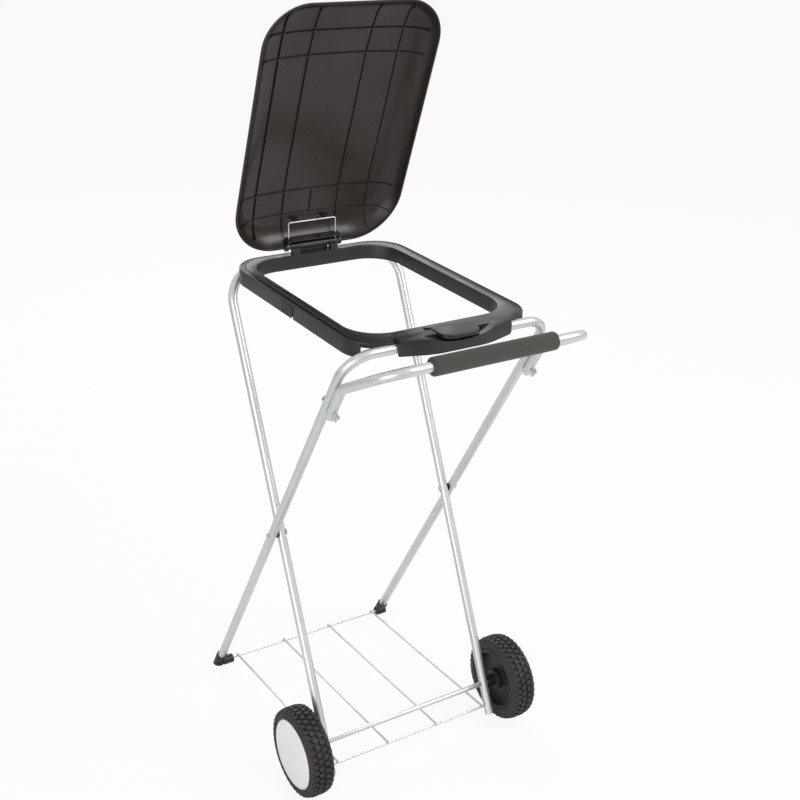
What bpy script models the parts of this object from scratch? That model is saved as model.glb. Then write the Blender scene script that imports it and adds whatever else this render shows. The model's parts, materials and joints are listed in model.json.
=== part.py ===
"""Folding bag trolley: two crossed tube frames carry a clamping bag ring with a lid, a wire shelf and two wheels.

X runs across the trolley, -Y points to the handle and +Z is up. The origin is on the floor,
under the middle of the footprint. All lengths are in metres.
"""
import math

import bmesh
import bpy
from mathutils import Matrix, Vector

# Clearances
GAP = 0.0003
RUN = 0.0005
SLIVER = 0.00005

# Tubes
TUBE_R = 0.008
TUBE_WALL = 0.001
TUBE_SIDES = 12
BEND_STEPS = 4
HOLE_SIDES = 12

# Frames, as seen from the side
RIM_Z = 0.841
PIVOT_Z = 0.421
REAR_BAR = 0.2035
FRONT_BAR = 0.2383
WHEEL_LEG_X = 0.172
WHEEL_BEND_R = 0.062
FOOT_BEND_R = 0.047
LEG_TAIL = 0.0595

# Frame pivots
WASHER_R = 0.0075
WASHER_T = 0.0006
RIVET_R = 0.003
RIVET_HEAD_R = 0.0055
RIVET_HEAD_T = 0.002

# Handle
HANDLE_LAP = 0.093
HANDLE_RUN = 0.1374
HANDLE_DROP = 0.053
HANDLE_TURN = math.radians(31.4)
HANDLE_BEND_R = 0.045
GRIP_R = 0.0145
GRIP_HALF = 0.113
GRIP_EDGE = 0.004
BOLT_R = 0.0028
BOLT_HEAD_R = 0.0065
BOLT_HEAD_T = 0.0035
WING_HUB_R = 0.0055
WING_HUB_T = 0.007
WING_SPAN = 0.012
WING_T = 0.0018

# Wheels
TYRE_R = 0.080
TYRE_HALF_W = 0.0235
WHEEL_GAP = 0.012
RUBBER_H = 0.0218
HUB_BOSS_R = 0.0185
HUB_NECK_R = 0.011
HUB_RIM_T = 0.0067
HUB_RECESS = 0.015
HUB_WALL = 0.004
CAP_LIP = 0.0041
CAP_T = 0.0032
AXLE_R = 0.0045
AXLE_NUT_R = 0.009
AXLE_NUT_T = 0.0016
AXLE_END = 0.004
HUB_OUT = 0.0095
WHEEL_STEPS = 20
BLOCK_COUNT = 20
BLOCK_LENGTH = 0.0150
BLOCK_HEIGHT = 0.006
BLOCK_TAPER = 0.82
CENTRE_BLOCK_W = 0.0115
CENTRE_BLOCK_Z = 0.0068
SHOULDER_BLOCK_W = 0.0125
SHOULDER_BLOCK_Z = 0.0180
SHOULDER_TILT = math.radians(27)
SHOULDER_DROP = 0.0025
SHOULDER_FROM = 0.0095
SHOULDER_TO = 0.0055
TREAD_FLOOR = 0.0033

# Feet
SOLE_T = 0.004
FOOT_CAP_R = 0.0105
FOOT_CAP_GRIP = 0.030
BOSS_R = 0.009
BOSS_UP = 0.0283
BOSS_FRONT = 0.0100
BOSS_REACH = 0.0236
SLOT_ANGLE = math.radians(59.5)
CAP_SIDES = 18

# Wire shelf
WIRE_R = 0.002
WIRE_SIDES = 8
SHELF_DROP = 0.0423
SHELF_SIDE_X = 0.157
SHELF_WIRES = 4
WIRE_TAIL = 0.003
WIRE_SINK = 0.0005
WIRE_END_IN_LEG = 0.010

# Bag ring
RING_HALF = 0.1645
RING_CORNER = 0.060
RING_TOP = 0.0035
RING_WALL = 0.0022
RING_DEPTH = 0.0235
LEDGE_T = 0.0013
LEDGE_W = 0.0035
RIM_BAND = 0.0095
RIM_ROUND = 0.0018
GROOVE_AT = 0.0044
GROOVE_W = 0.0020
GROOVE_DEPTH = 0.0012
RING_FRONT_SHIFT = 0.001
CORNER_STEPS = 5
FRONT_CUT_HALF = 0.153
REAR_CUT_FROM = 0.100
REAR_CUT_AHEAD = 0.024
CLIP_X = 0.062
CLIP_W = 0.008
CLIP_HOOK = 0.003
PAD_FROM = 0.1885
PAD_LENGTH = 0.041
PAD_PROUD = 0.0012
PAD_NOTCH = 0.007

# Latch housing at the front of the bag ring
HOUSING_HALF = 0.105
HOUSING_WALL = 0.0025
HOUSING_DROP = 0.008
BULGE_HALF = 0.0735
BULGE_NOSE = 0.057
BULGE_REACH = 0.017
BULGE_DROP = 0.017
BULGE_TOP = 0.017
DISH_R = 0.090
DISH_FLOOR = 0.005

# Clamp ring and its thumb tab
MOUTH_IN = 0.0239
MOUTH_CORNER_IN = 0.012
INNER_FRONT = 0.0377
CLAMP_WALL = 0.0018
CLAMP_FLANGE = 0.0016
TAB_HALF = 0.036
TAB_T = 0.006
TAB_REACH = 0.032
TAB_TOP = 0.018
TAB_CORNER = 0.020
TAB_ROOT = 0.034

# Lid hinge
HINGE_BACK = 0.0035
HINGE_UP = 0.0235
LUG_R = 0.006
LUG_IN = 0.031
LUG_OUT = 0.0453
TRUNNION_R = 0.003
TRUNNION_L = 0.008
EAR_W = 0.010
HINGE_WIRE_R = 0.00125
HINGE_WIRE_X = 0.0475
HINGE_WIRE_UP = 0.040
HINGE_WIRE_DEPTH = 0.0212
LID_OPEN = math.radians(71)

# Lid
LID_HALF = 0.165
LID_LENGTH = 0.464
LID_RIM_DROP = 0.0047
LID_WALL = 0.0022
LID_BEAD = 0.0034
LID_CORNER_TOP = 0.078
LID_CORNER_HINGE = 0.088
LID_CROWN = 0.041
LID_RECESS_HALF = 0.058
LID_RECESS = 0.013
LID_RECESS_UP = 0.0125
RIB_T = 0.0016
RIB_H = 0.003
RIB_X = (0.050, 0.106)
RIB_S = (0.049, 0.094, 0.353, 0.398)
WIRE_CLIP_X = 0.030
WIRE_CLIP = 0.008
WIRE_CLIP_RISE = 0.0052

# Sizes that follow from those above
LEG_RISE = RIM_Z - PIVOT_Z
LEAN_WHEEL = math.atan2(REAR_BAR, LEG_RISE)
LEAN_FOOT = math.atan2(FRONT_BAR, LEG_RISE)
WHEEL_UP = math.hypot(REAR_BAR, LEG_RISE)
FOOT_UP = math.hypot(FRONT_BAR, LEG_RISE)
FOOT_LEG_X = WHEEL_LEG_X + 2 * TUBE_R + WASHER_T + 2 * GAP
SPAN = REAR_BAR + FRONT_BAR

BLOCK_ANGLE = 2 * math.pi / BLOCK_COUNT
BLOCK_TOP_HALF = BLOCK_TAPER * BLOCK_LENGTH / 2
BLOCK_CORNER_R = math.hypot(TYRE_R, BLOCK_TOP_HALF)
CORNER_ANGLE = BLOCK_ANGLE / 2 - math.atan2(BLOCK_TOP_HALF, TYRE_R)
AXLE_Z = max(TYRE_R, BLOCK_CORNER_R * math.cos(CORNER_ANGLE))
AXLE_DOWN = (PIVOT_Z - AXLE_Z) / math.cos(LEAN_WHEEL)
WHEEL_X = WHEEL_LEG_X + TUBE_R + WHEEL_GAP + TYRE_HALF_W
AXLE_HALF = WHEEL_X + HUB_OUT + AXLE_END
CAP_SEAT = TYRE_HALF_W - CAP_T - GAP

FOOT_DOWN = (PIVOT_Z - SOLE_T - TUBE_R * math.sin(LEAN_FOOT)) / math.cos(LEAN_FOOT)
FLOOR_DOWN = PIVOT_Z / math.cos(LEAN_FOOT)
BOSS_DOWN = FLOOR_DOWN - BOSS_UP
SHELF_HINGE = AXLE_DOWN + SHELF_DROP

HANDLE_OFF = -(2 * TUBE_R + GAP)
HANDLE_BEND = FOOT_UP - HANDLE_DROP
HANDLE_END = HANDLE_BEND - HANDLE_LAP
BOLT_UP = HANDLE_BEND - 0.56 * HANDLE_LAP
GRIP_BACK = HANDLE_OFF - HANDLE_RUN * math.sin(HANDLE_TURN)
GRIP_UP = HANDLE_BEND + HANDLE_RUN * math.cos(HANDLE_TURN)

# The origin lies halfway between the front of the grip and the back of the foot caps
GRIP_FORWARD = GRIP_UP * math.sin(LEAN_FOOT) - GRIP_BACK * math.cos(LEAN_FOOT)
FRONT_REACH = GRIP_FORWARD + GRIP_R
REAR_REACH = PIVOT_Z * math.tan(LEAN_FOOT) + FOOT_CAP_R / math.cos(LEAN_FOOT)
PIVOT_Y = (FRONT_REACH - REAR_REACH) / 2
AXLE_Y = PIVOT_Y - AXLE_DOWN * math.sin(LEAN_WHEEL)
HINGE_WORLD = (PIVOT_Y - SHELF_HINGE * math.sin(LEAN_WHEEL), PIVOT_Z - SHELF_HINGE * math.cos(LEAN_WHEEL))
BOSS_WORLD = (PIVOT_Y + BOSS_DOWN * math.sin(LEAN_FOOT) - BOSS_FRONT * math.cos(LEAN_FOOT),
              PIVOT_Z - BOSS_DOWN * math.cos(LEAN_FOOT) - BOSS_FRONT * math.sin(LEAN_FOOT))

# The wheel's rim, recess and cap, inside the rubber
RIM_R = TYRE_R - RUBBER_H
HUB_RECESS_R = RIM_R - HUB_RIM_T
CAP_R = RIM_R + CAP_LIP

# The mouth, inside the outer wall of the ring
INNER_HALF = RING_HALF - MOUTH_IN
INNER_CORNER = RING_CORNER - MOUTH_CORNER_IN

# Heights and places of the bag ring, measured from the middle of the rear crossbar
BAR_TOP = TUBE_R + GAP
TOP = TUBE_R + RING_TOP
BOTTOM = TOP - 0.003 - RING_DEPTH
RING_FRONT = -SPAN - RING_FRONT_SHIFT
HOUSING_FRONT = -SPAN - TUBE_R - RUN - HOUSING_WALL
RING_BACK = TUBE_R + RUN + RING_WALL
CLAMP_BACK = -TUBE_R - RUN - CLAMP_WALL
CLAMP_FRONT = -SPAN + INNER_FRONT
STEP_IN = RIM_BAND + RUN
LEDGE_TOP = BAR_TOP + LEDGE_T
FLANGE_LOW = LEDGE_TOP + GAP
FLANGE_TOP = FLANGE_LOW + CLAMP_FLANGE
RIM_BAND_BACK = RING_BACK - RIM_BAND + GAP
CLAMP_SHIFT = (0, -HINGE_BACK, -HINGE_UP)
WIRE_TOP_Z = HINGE_WIRE_DEPTH - LID_RIM_DROP


def clear_scene():
    """Remove every object that the scene starts with."""
    for obj in list(bpy.data.objects):
        bpy.data.objects.remove(obj)


def new_collection(name):
    """Make a collection under the scene."""
    collection = bpy.data.collections.new(name)
    bpy.context.scene.collection.children.link(collection)
    return collection


def paint(name, colour, roughness, metallic=0.0):
    """A plain Principled material."""
    material = bpy.data.materials.new(name)
    material.use_nodes = True
    shader = material.node_tree.nodes["Principled BSDF"]
    shader.inputs["Base Color"].default_value = (*colour, 1)
    shader.inputs["Roughness"].default_value = roughness
    shader.inputs["Metallic"].default_value = metallic
    return material


clear_scene()
PARTS = new_collection("bag_trolley")
CUTTERS = new_collection("cutters")
ZINC = paint("zinc", (0.72, 0.74, 0.74), 0.28, 1.0)
WIRE = paint("bright_wire", (0.70, 0.73, 0.72), 0.35, 1.0)
BLACK = paint("black_plastic", (0.045, 0.042, 0.040), 0.35)
LID_BLACK = paint("lid_plastic", (0.040, 0.035, 0.032), 0.30)
FOAM = paint("grip_foam", (0.105, 0.100, 0.090), 0.90)
RUBBER = paint("tyre_rubber", (0.060, 0.055, 0.050), 0.75)
WHITE = paint("white_plastic", (0.86, 0.88, 0.88), 0.30)


def empty(name, location, rotation=(0, 0, 0), parent=None):
    """An axis that moving pieces hang on."""
    axis = bpy.data.objects.new(name, None)
    PARTS.objects.link(axis)
    axis.parent = parent
    axis.location = location
    axis.rotation_euler = rotation
    return axis


def add_part(name, mesh, material, parent=None, location=(0, 0, 0), rotation=(0, 0, 0)):
    """Put a mesh in the scene as one piece of the trolley."""
    obj = bpy.data.objects.new(name, mesh)
    PARTS.objects.link(obj)
    obj.parent = parent
    obj.location = location
    obj.rotation_euler = rotation
    if not mesh.materials:
        mesh.materials.append(material)
    return obj


def combine(obj, tool, operation, crossing=False):
    """Join, cut or intersect a piece with a hidden tool body; crossing says that the tool's own bodies overlap."""
    CUTTERS.objects.link(tool)
    tool.hide_render = True
    tool.display_type = 'WIRE'
    modifier = obj.modifiers.new(tool.name, 'BOOLEAN')
    modifier.operation = operation
    modifier.object = tool
    modifier.use_self = crossing


def tool_for(obj, tool, operation, crossing=False):
    """Combine a piece with a mesh or a tool body that is drawn in the piece's own coordinates."""
    if isinstance(tool, bpy.types.Mesh):
        tool = bpy.data.objects.new(obj.name + "_" + tool.name, tool)
    tool.parent = obj
    combine(obj, tool, operation, crossing)


def new_mesh(name, bm):
    """Turn a bmesh into a smooth-shaded mesh with its faces pointing out."""
    bmesh.ops.recalc_face_normals(bm, faces=bm.faces)
    mesh = bpy.data.meshes.new(name)
    bm.to_mesh(mesh)
    bm.free()
    mesh.shade_smooth()
    mesh.set_sharp_from_angle(angle=math.radians(35))
    return mesh


def add_box(bm, low, high):
    """A box between two corners."""
    low = Vector(low)
    high = Vector(high)
    place = Matrix.Translation((low + high) / 2) @ Matrix.Diagonal((high - low).to_4d())
    bmesh.ops.create_cube(bm, size=1, matrix=place)


def add_rod(bm, start, end, radius, sides=HOLE_SIDES):
    """A round rod between two points."""
    start = Vector(start)
    end = Vector(end)
    turn = (end - start).to_track_quat('Z', 'Y').to_matrix().to_4x4()
    place = Matrix.Translation((start + end) / 2) @ turn
    bmesh.ops.create_cone(
        bm, cap_ends=True, segments=sides, radius1=radius, radius2=radius, depth=(end - start).length, matrix=place)


def add_prism(bm, outline, offset):
    """A flat outline of 3D points, pushed along an offset."""
    face = bm.faces.new([bm.verts.new(point) for point in outline])
    pushed = bmesh.ops.extrude_face_region(bm, geom=[face])
    moved = [item for item in pushed["geom"] if isinstance(item, bmesh.types.BMVert)]
    bmesh.ops.translate(bm, verts=moved, vec=offset)


def boxes(name, corners):
    """One mesh of several boxes."""
    bm = bmesh.new()
    for low, high in corners:
        add_box(bm, low, high)
    return new_mesh(name, bm)


def rods(name, spans, radius, sides=HOLE_SIDES):
    """One mesh of several round rods."""
    bm = bmesh.new()
    for start, end in spans:
        add_rod(bm, start, end, radius, sides)
    return new_mesh(name, bm)


def prism(name, outline, offset):
    """One mesh of a flat outline pushed along an offset."""
    bm = bmesh.new()
    add_prism(bm, outline, offset)
    return new_mesh(name, bm)


def filleted(points, radii):
    """A path through the points with its inner corners rounded."""
    path = [Vector(points[0])]
    for before, corner, after, radius in zip(points, points[1:], points[2:], radii):
        corner = Vector(corner)
        back = (Vector(before) - corner).normalized()
        ahead = (Vector(after) - corner).normalized()
        half = back.angle(ahead) / 2
        centre = corner + (back + ahead).normalized() * radius / math.sin(half)
        first = corner + back * radius / math.tan(half) - centre
        last = corner + ahead * radius / math.tan(half) - centre
        sweep = math.pi - 2 * half
        for step in range(BEND_STEPS + 1):
            share = step / BEND_STEPS
            arm = first * math.sin((1 - share) * sweep) + last * math.sin(share * sweep)
            path.append(centre + arm / math.sin(sweep))
    path.append(Vector(points[-1]))
    return path


def swept(name, path, radius, sides, capped):
    """A round tube or wire along a path, as a mesh."""
    curve = bpy.data.curves.new(name, 'CURVE')
    curve.dimensions = '3D'
    curve.bevel_depth = radius
    curve.bevel_resolution = (sides - 4) // 2
    curve.use_fill_caps = capped
    spline = curve.splines.new('POLY')
    spline.points.add(len(path) - 1)
    for knot, place in zip(spline.points, path):
        knot.co = (*place, 1)
    guide = bpy.data.objects.new(name, curve)
    bpy.context.scene.collection.objects.link(guide)
    bpy.context.view_layer.update()
    depsgraph = bpy.context.evaluated_depsgraph_get()
    raw = bpy.data.meshes.new_from_object(guide.evaluated_get(depsgraph))
    bpy.data.objects.remove(guide)
    bm = bmesh.new()
    bm.from_mesh(raw)
    bmesh.ops.remove_doubles(bm, verts=bm.verts, dist=0.00001)
    return new_mesh(name, bm)


def pipe(name, path, parent):
    """A bent steel tube with an open bore."""
    tube = add_part(name, swept(name, path, TUBE_R, TUBE_SIDES, False), ZINC, parent)
    wall = tube.modifiers.new("wall", 'SOLIDIFY')
    wall.thickness = TUBE_WALL
    wall.offset = -1
    return tube


def turned(name, profile, material, parent, steps=24, location=(0, 0, 0), rotation=(0, 0, 0)):
    """A profile of (radius, height) points, turned about Z."""
    bm = bmesh.new()
    knots = [bm.verts.new((radius, 0, height)) for radius, height in profile]
    for first, second in zip(knots, knots[1:]):
        bm.edges.new((first, second))
    if profile[0][0] > 0:
        bm.edges.new((knots[-1], knots[0]))
    mesh = bpy.data.meshes.new(name)
    bm.to_mesh(mesh)
    bm.free()
    obj = add_part(name, mesh, material, parent, location, rotation)
    screw = obj.modifiers.new("turn", 'SCREW')
    screw.steps = steps
    screw.render_steps = steps
    screw.use_merge_vertices = True
    screw.merge_threshold = 0.00001
    screw.use_smooth_shade = True
    return obj


def rounded_rect(half, front, back, front_r, back_r, steps=CORNER_STEPS):
    """An outline in X and Y with round corners, from the front right corner round to the left."""
    corners = (
        (half - front_r, front + front_r, front_r, -90),
        (half - back_r, back - back_r, back_r, 0),
        (back_r - half, back - back_r, back_r, 90),
        (front_r - half, front + front_r, front_r, 180),
    )
    outline = []
    for x, y, radius, start in corners:
        for step in range(steps + 1):
            angle = math.radians(start + 90 * step / steps)
            outline.append((x + radius * math.cos(angle), y + radius * math.sin(angle)))
    return outline


def loft(name, loops, closed):
    """Skin loops of equal length: closed loops form a ring, open ones are capped at both ends."""
    bm = bmesh.new()
    rows = [[bm.verts.new(point) for point in loop] for loop in loops]
    pairs = list(zip(rows, rows[1:]))
    if closed:
        pairs.append((rows[-1], rows[0]))
    else:
        bm.faces.new(rows[0])
        bm.faces.new(rows[-1])
    for low, high in pairs:
        for index in range(len(low)):
            after = (index + 1) % len(low)
            bm.faces.new((low[index], low[after], high[after], high[index]))
    return new_mesh(name, bm)


def make_wheel_frame(axis):
    """The inner frame: legs down to the wheels, crossbar under the back of the ring."""
    low = -AXLE_DOWN - LEG_TAIL
    path = filleted(
        [(-WHEEL_LEG_X, 0, low), (-WHEEL_LEG_X, 0, WHEEL_UP), (WHEEL_LEG_X, 0, WHEEL_UP), (WHEEL_LEG_X, 0, low)],
        [WHEEL_BEND_R, WHEEL_BEND_R])
    frame = pipe("wheel_frame", path, axis)
    reach = WHEEL_LEG_X + TUBE_R + GAP
    axle_hole = [((-reach, 0, -AXLE_DOWN), (reach, 0, -AXLE_DOWN))]
    tool_for(frame, rods("axle_hole", axle_hole, AXLE_R + GAP), 'DIFFERENCE')
    tool_for(frame, rods("rivet_hole", [((-reach, 0, 0), (reach, 0, 0))], RIVET_R + GAP), 'DIFFERENCE')
    shelf_hole = [((-WHEEL_LEG_X, 0, -SHELF_HINGE), (WHEEL_LEG_X, 0, -SHELF_HINGE))]
    tool_for(frame, rods("shelf_hole", shelf_hole, WIRE_R + GAP), 'DIFFERENCE')
    return frame


def make_foot_frame(axis):
    """The outer frame: legs down to the feet, crossbar under the front of the ring."""
    path = filleted(
        [(-FOOT_LEG_X, 0, -FOOT_DOWN), (-FOOT_LEG_X, 0, FOOT_UP),
         (FOOT_LEG_X, 0, FOOT_UP), (FOOT_LEG_X, 0, -FOOT_DOWN)],
        [FOOT_BEND_R, FOOT_BEND_R])
    frame = pipe("foot_frame", path, axis)
    reach = FOOT_LEG_X + TUBE_R + GAP
    tool_for(frame, rods("rivet_hole", [((-reach, 0, 0), (reach, 0, 0))], RIVET_R + GAP), 'DIFFERENCE')
    tool_for(frame, bolt_holes(0), 'DIFFERENCE')
    return frame


def bolt_holes(middle):
    """Cutters for the holes that the handle bolts pass through."""
    spans = []
    for side in (-1, 1):
        x = side * FOOT_LEG_X
        spans.append(((x, middle - TUBE_R - GAP, BOLT_UP), (x, middle + TUBE_R + GAP, BOLT_UP)))
    return rods("bolt_hole", spans, BOLT_R + GAP)


def make_handle(axis):
    """The bent handle tube that is bolted against the front of the foot frame, with its grip."""
    corners = []
    for side in (-1, 1):
        arm = [(side * FOOT_LEG_X, HANDLE_OFF, HANDLE_END),
               (side * FOOT_LEG_X, HANDLE_OFF, HANDLE_BEND),
               (side * FOOT_LEG_X, GRIP_BACK, GRIP_UP)]
        corners.extend(arm[::-side])
    handle = pipe("handle_tube", filleted(corners, [HANDLE_BEND_R] * 4), axis)
    tool_for(handle, bolt_holes(HANDLE_OFF), 'DIFFERENCE')

    inner = TUBE_R + GAP
    profile = [
        (inner, GRIP_HALF - GRIP_EDGE / 2),
        (inner + GRIP_EDGE / 2, GRIP_HALF),
        (GRIP_R - GRIP_EDGE, GRIP_HALF),
        (GRIP_R - 0.3 * GRIP_EDGE, GRIP_HALF - 0.3 * GRIP_EDGE),
        (GRIP_R, GRIP_HALF - GRIP_EDGE),
    ]
    profile += [(radius, -height) for radius, height in reversed(profile)]
    turned("handle_grip", profile, FOAM, axis, 18, (0, GRIP_BACK, GRIP_UP), (0, math.pi / 2, 0))


def make_handle_bolts(axis):
    """Bolts with domed heads behind the legs, and wing nuts in front of the handle tube."""
    head = TUBE_R + GAP
    nut = HANDLE_OFF - TUBE_R - GAP
    tip = nut - WING_HUB_T - 0.002
    for side, word in ((-1, "left"), (1, "right")):
        place = (side * FOOT_LEG_X, 0, BOLT_UP)
        profile = [
            (0, head + BOLT_HEAD_T),
            (0.5 * BOLT_HEAD_R, head + 0.93 * BOLT_HEAD_T),
            (0.85 * BOLT_HEAD_R, head + 0.6 * BOLT_HEAD_T),
            (BOLT_HEAD_R, head + 0.1 * BOLT_HEAD_T),
            (BOLT_HEAD_R, head),
            (BOLT_R, head),
            (BOLT_R, tip),
            (0, tip),
        ]
        turned("handle_bolt_" + word, profile, ZINC, axis, 12, place, (-math.pi / 2, 0, 0))

        bm = bmesh.new()
        add_rod(bm, (0, nut, 0), (0, nut - WING_HUB_T, 0), WING_HUB_R)
        wing_nut = add_part("wing_nut_" + word, new_mesh("wing_nut_" + word, bm), ZINC, axis, place)
        wings = bmesh.new()
        for end in (-1, 1):
            outline = [(-WING_T / 2, nut - 0.001, end * 0.5 * WING_HUB_R),
                       (-WING_T / 2, nut - 0.003, end * WING_SPAN),
                       (-WING_T / 2, nut - WING_HUB_T - 0.003, end * WING_SPAN),
                       (-WING_T / 2, nut - WING_HUB_T + 0.0005, end * 0.5 * WING_HUB_R)]
            add_prism(wings, outline, (WING_T, 0, 0))
        tool_for(wing_nut, new_mesh("wings", wings), 'UNION')
        bore = [((0, nut + GAP, 0), (0, tip - GAP, 0))]
        tool_for(wing_nut, rods("bore", bore, BOLT_R + GAP), 'DIFFERENCE')


def make_pivots(axis):
    """Rivets and plastic washers where the two frames cross."""
    inner = WHEEL_LEG_X - TUBE_R - GAP
    outer = FOOT_LEG_X + TUBE_R + GAP
    washer_in = WHEEL_LEG_X + TUBE_R + GAP
    for side, word in ((-1, "left"), (1, "right")):
        turn = (0, side * math.pi / 2, 0)
        profile = [
            (0, outer + RIVET_HEAD_T),
            (0.6 * RIVET_HEAD_R, outer + 0.85 * RIVET_HEAD_T),
            (RIVET_HEAD_R, outer + 0.25 * RIVET_HEAD_T),
            (RIVET_HEAD_R, outer),
            (RIVET_R, outer),
            (RIVET_R, inner),
            (RIVET_HEAD_R, inner),
            (RIVET_HEAD_R, inner - 0.25 * RIVET_HEAD_T),
            (0.6 * RIVET_HEAD_R, inner - 0.85 * RIVET_HEAD_T),
            (0, inner - RIVET_HEAD_T),
        ]
        turned("pivot_rivet_" + word, profile, ZINC, axis, 12, (0, 0, 0), turn)
        washer = [
            (RIVET_R + GAP, washer_in + WASHER_T),
            (WASHER_R, washer_in + WASHER_T),
            (WASHER_R, washer_in),
            (RIVET_R + GAP, washer_in),
        ]
        turned("pivot_washer_" + word, washer, BLACK, axis, 12, (0, 0, 0), turn)


def make_foot_caps(axis):
    """Plastic caps on the feet, cut level at the floor, each with a slotted boss for the shelf."""
    top = -FOOT_DOWN + FOOT_CAP_GRIP
    low = -FLOOR_DOWN - FOOT_CAP_R
    for side, word in ((-1, "left"), (1, "right")):
        leg = (side * FOOT_LEG_X, 0, 0)
        bm = bmesh.new()
        add_rod(bm, (0, 0, low), (0, 0, top), FOOT_CAP_R, CAP_SIDES)
        cap = add_part("foot_cap_" + word, new_mesh("foot_cap_" + word, bm), BLACK, axis, leg)
        boss = [((0, -BOSS_FRONT, -BOSS_DOWN), (-side * BOSS_REACH, -BOSS_FRONT, -BOSS_DOWN))]
        tool_for(cap, rods("boss", boss, BOSS_R, CAP_SIDES), 'UNION')
        bore = [((0, 0, -FOOT_DOWN - GAP), (0, 0, top + GAP))]
        tool_for(cap, rods("bore", bore, TUBE_R + GAP, CAP_SIDES), 'DIFFERENCE')

        slot = bmesh.new()
        inner = -side * (BOSS_REACH + GAP)
        outer = -side * (BOSS_REACH - WIRE_END_IN_LEG - 3 * RUN)
        seat = (0, -BOSS_FRONT, -BOSS_DOWN)
        add_rod(slot, (inner, *seat[1:]), (outer, *seat[1:]), WIRE_R + GAP)
        cradle = new_mesh("cradle", slot)
        tool_for(cap, cradle, 'DIFFERENCE')
        ways = bmesh.new()
        half = WIRE_R + GAP
        mouth = half + 0.0008
        outline = [(inner, 0, -half), (inner, BOSS_R + 0.004, -mouth), (inner, BOSS_R + 0.004, mouth), (inner, 0, half)]
        add_prism(ways, outline, (outer - inner, 0, 0))
        turn = Matrix.Translation(seat) @ Matrix.Rotation(math.pi / 2 - SLOT_ANGLE, 4, 'X')
        bmesh.ops.transform(ways, matrix=turn, verts=ways.verts)
        tool_for(cap, new_mesh("slot", ways), 'DIFFERENCE')

        tilt = Matrix.Rotation(-LEAN_FOOT, 4, 'X')
        floor = bmesh.new()
        add_box(floor, (-0.03, -0.04, -0.04), (0.03, 0.04, 0))
        level = tilt @ Matrix.Translation((0, PIVOT_Z * math.tan(LEAN_FOOT), -PIVOT_Z))
        bmesh.ops.transform(floor, matrix=level, verts=floor.verts)
        tool_for(cap, new_mesh("floor", floor), 'DIFFERENCE')


def make_axle(axis):
    """The axle rod through the legs, with a push nut outside each hub."""
    axle = bmesh.new()
    add_rod(axle, (-AXLE_HALF, 0, -AXLE_DOWN), (AXLE_HALF, 0, -AXLE_DOWN), AXLE_R, 16)
    add_part("axle", new_mesh("axle", axle), ZINC, axis)
    for side, word in ((-1, "left"), (1, "right")):
        low = WHEEL_X + HUB_OUT + RUN
        profile = [
            (AXLE_R + GAP, low + 1.6 * AXLE_NUT_T),
            (1.35 * AXLE_R, low + 1.6 * AXLE_NUT_T),
            (1.5 * AXLE_R, low + AXLE_NUT_T),
            (AXLE_NUT_R, low + 0.6 * AXLE_NUT_T),
            (AXLE_NUT_R, low),
            (AXLE_R + GAP, low),
        ]
        turned("axle_nut_" + word, profile, ZINC, axis, 12, (0, 0, -AXLE_DOWN), (0, side * math.pi / 2, 0))


def tread_block(bm, turn, radius, height, width, tilt):
    """One tapered block of tread, its flat top at the given radius."""
    made = bmesh.ops.create_cube(bm, size=1)["verts"]
    for vert in made:
        taper = BLOCK_TAPER if vert.co.x > 0 else 1
        vert.co = Vector((vert.co.x * BLOCK_HEIGHT, vert.co.y * BLOCK_LENGTH * taper, vert.co.z * width * taper))
    place = Matrix.Translation((radius, 0, height)) @ Matrix.Rotation(tilt, 4, 'Y')
    lower = Matrix.Translation((-BLOCK_HEIGHT / 2, 0, 0))
    bmesh.ops.transform(bm, matrix=Matrix.Rotation(turn, 4, 'Z') @ place @ lower, verts=made)


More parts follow.
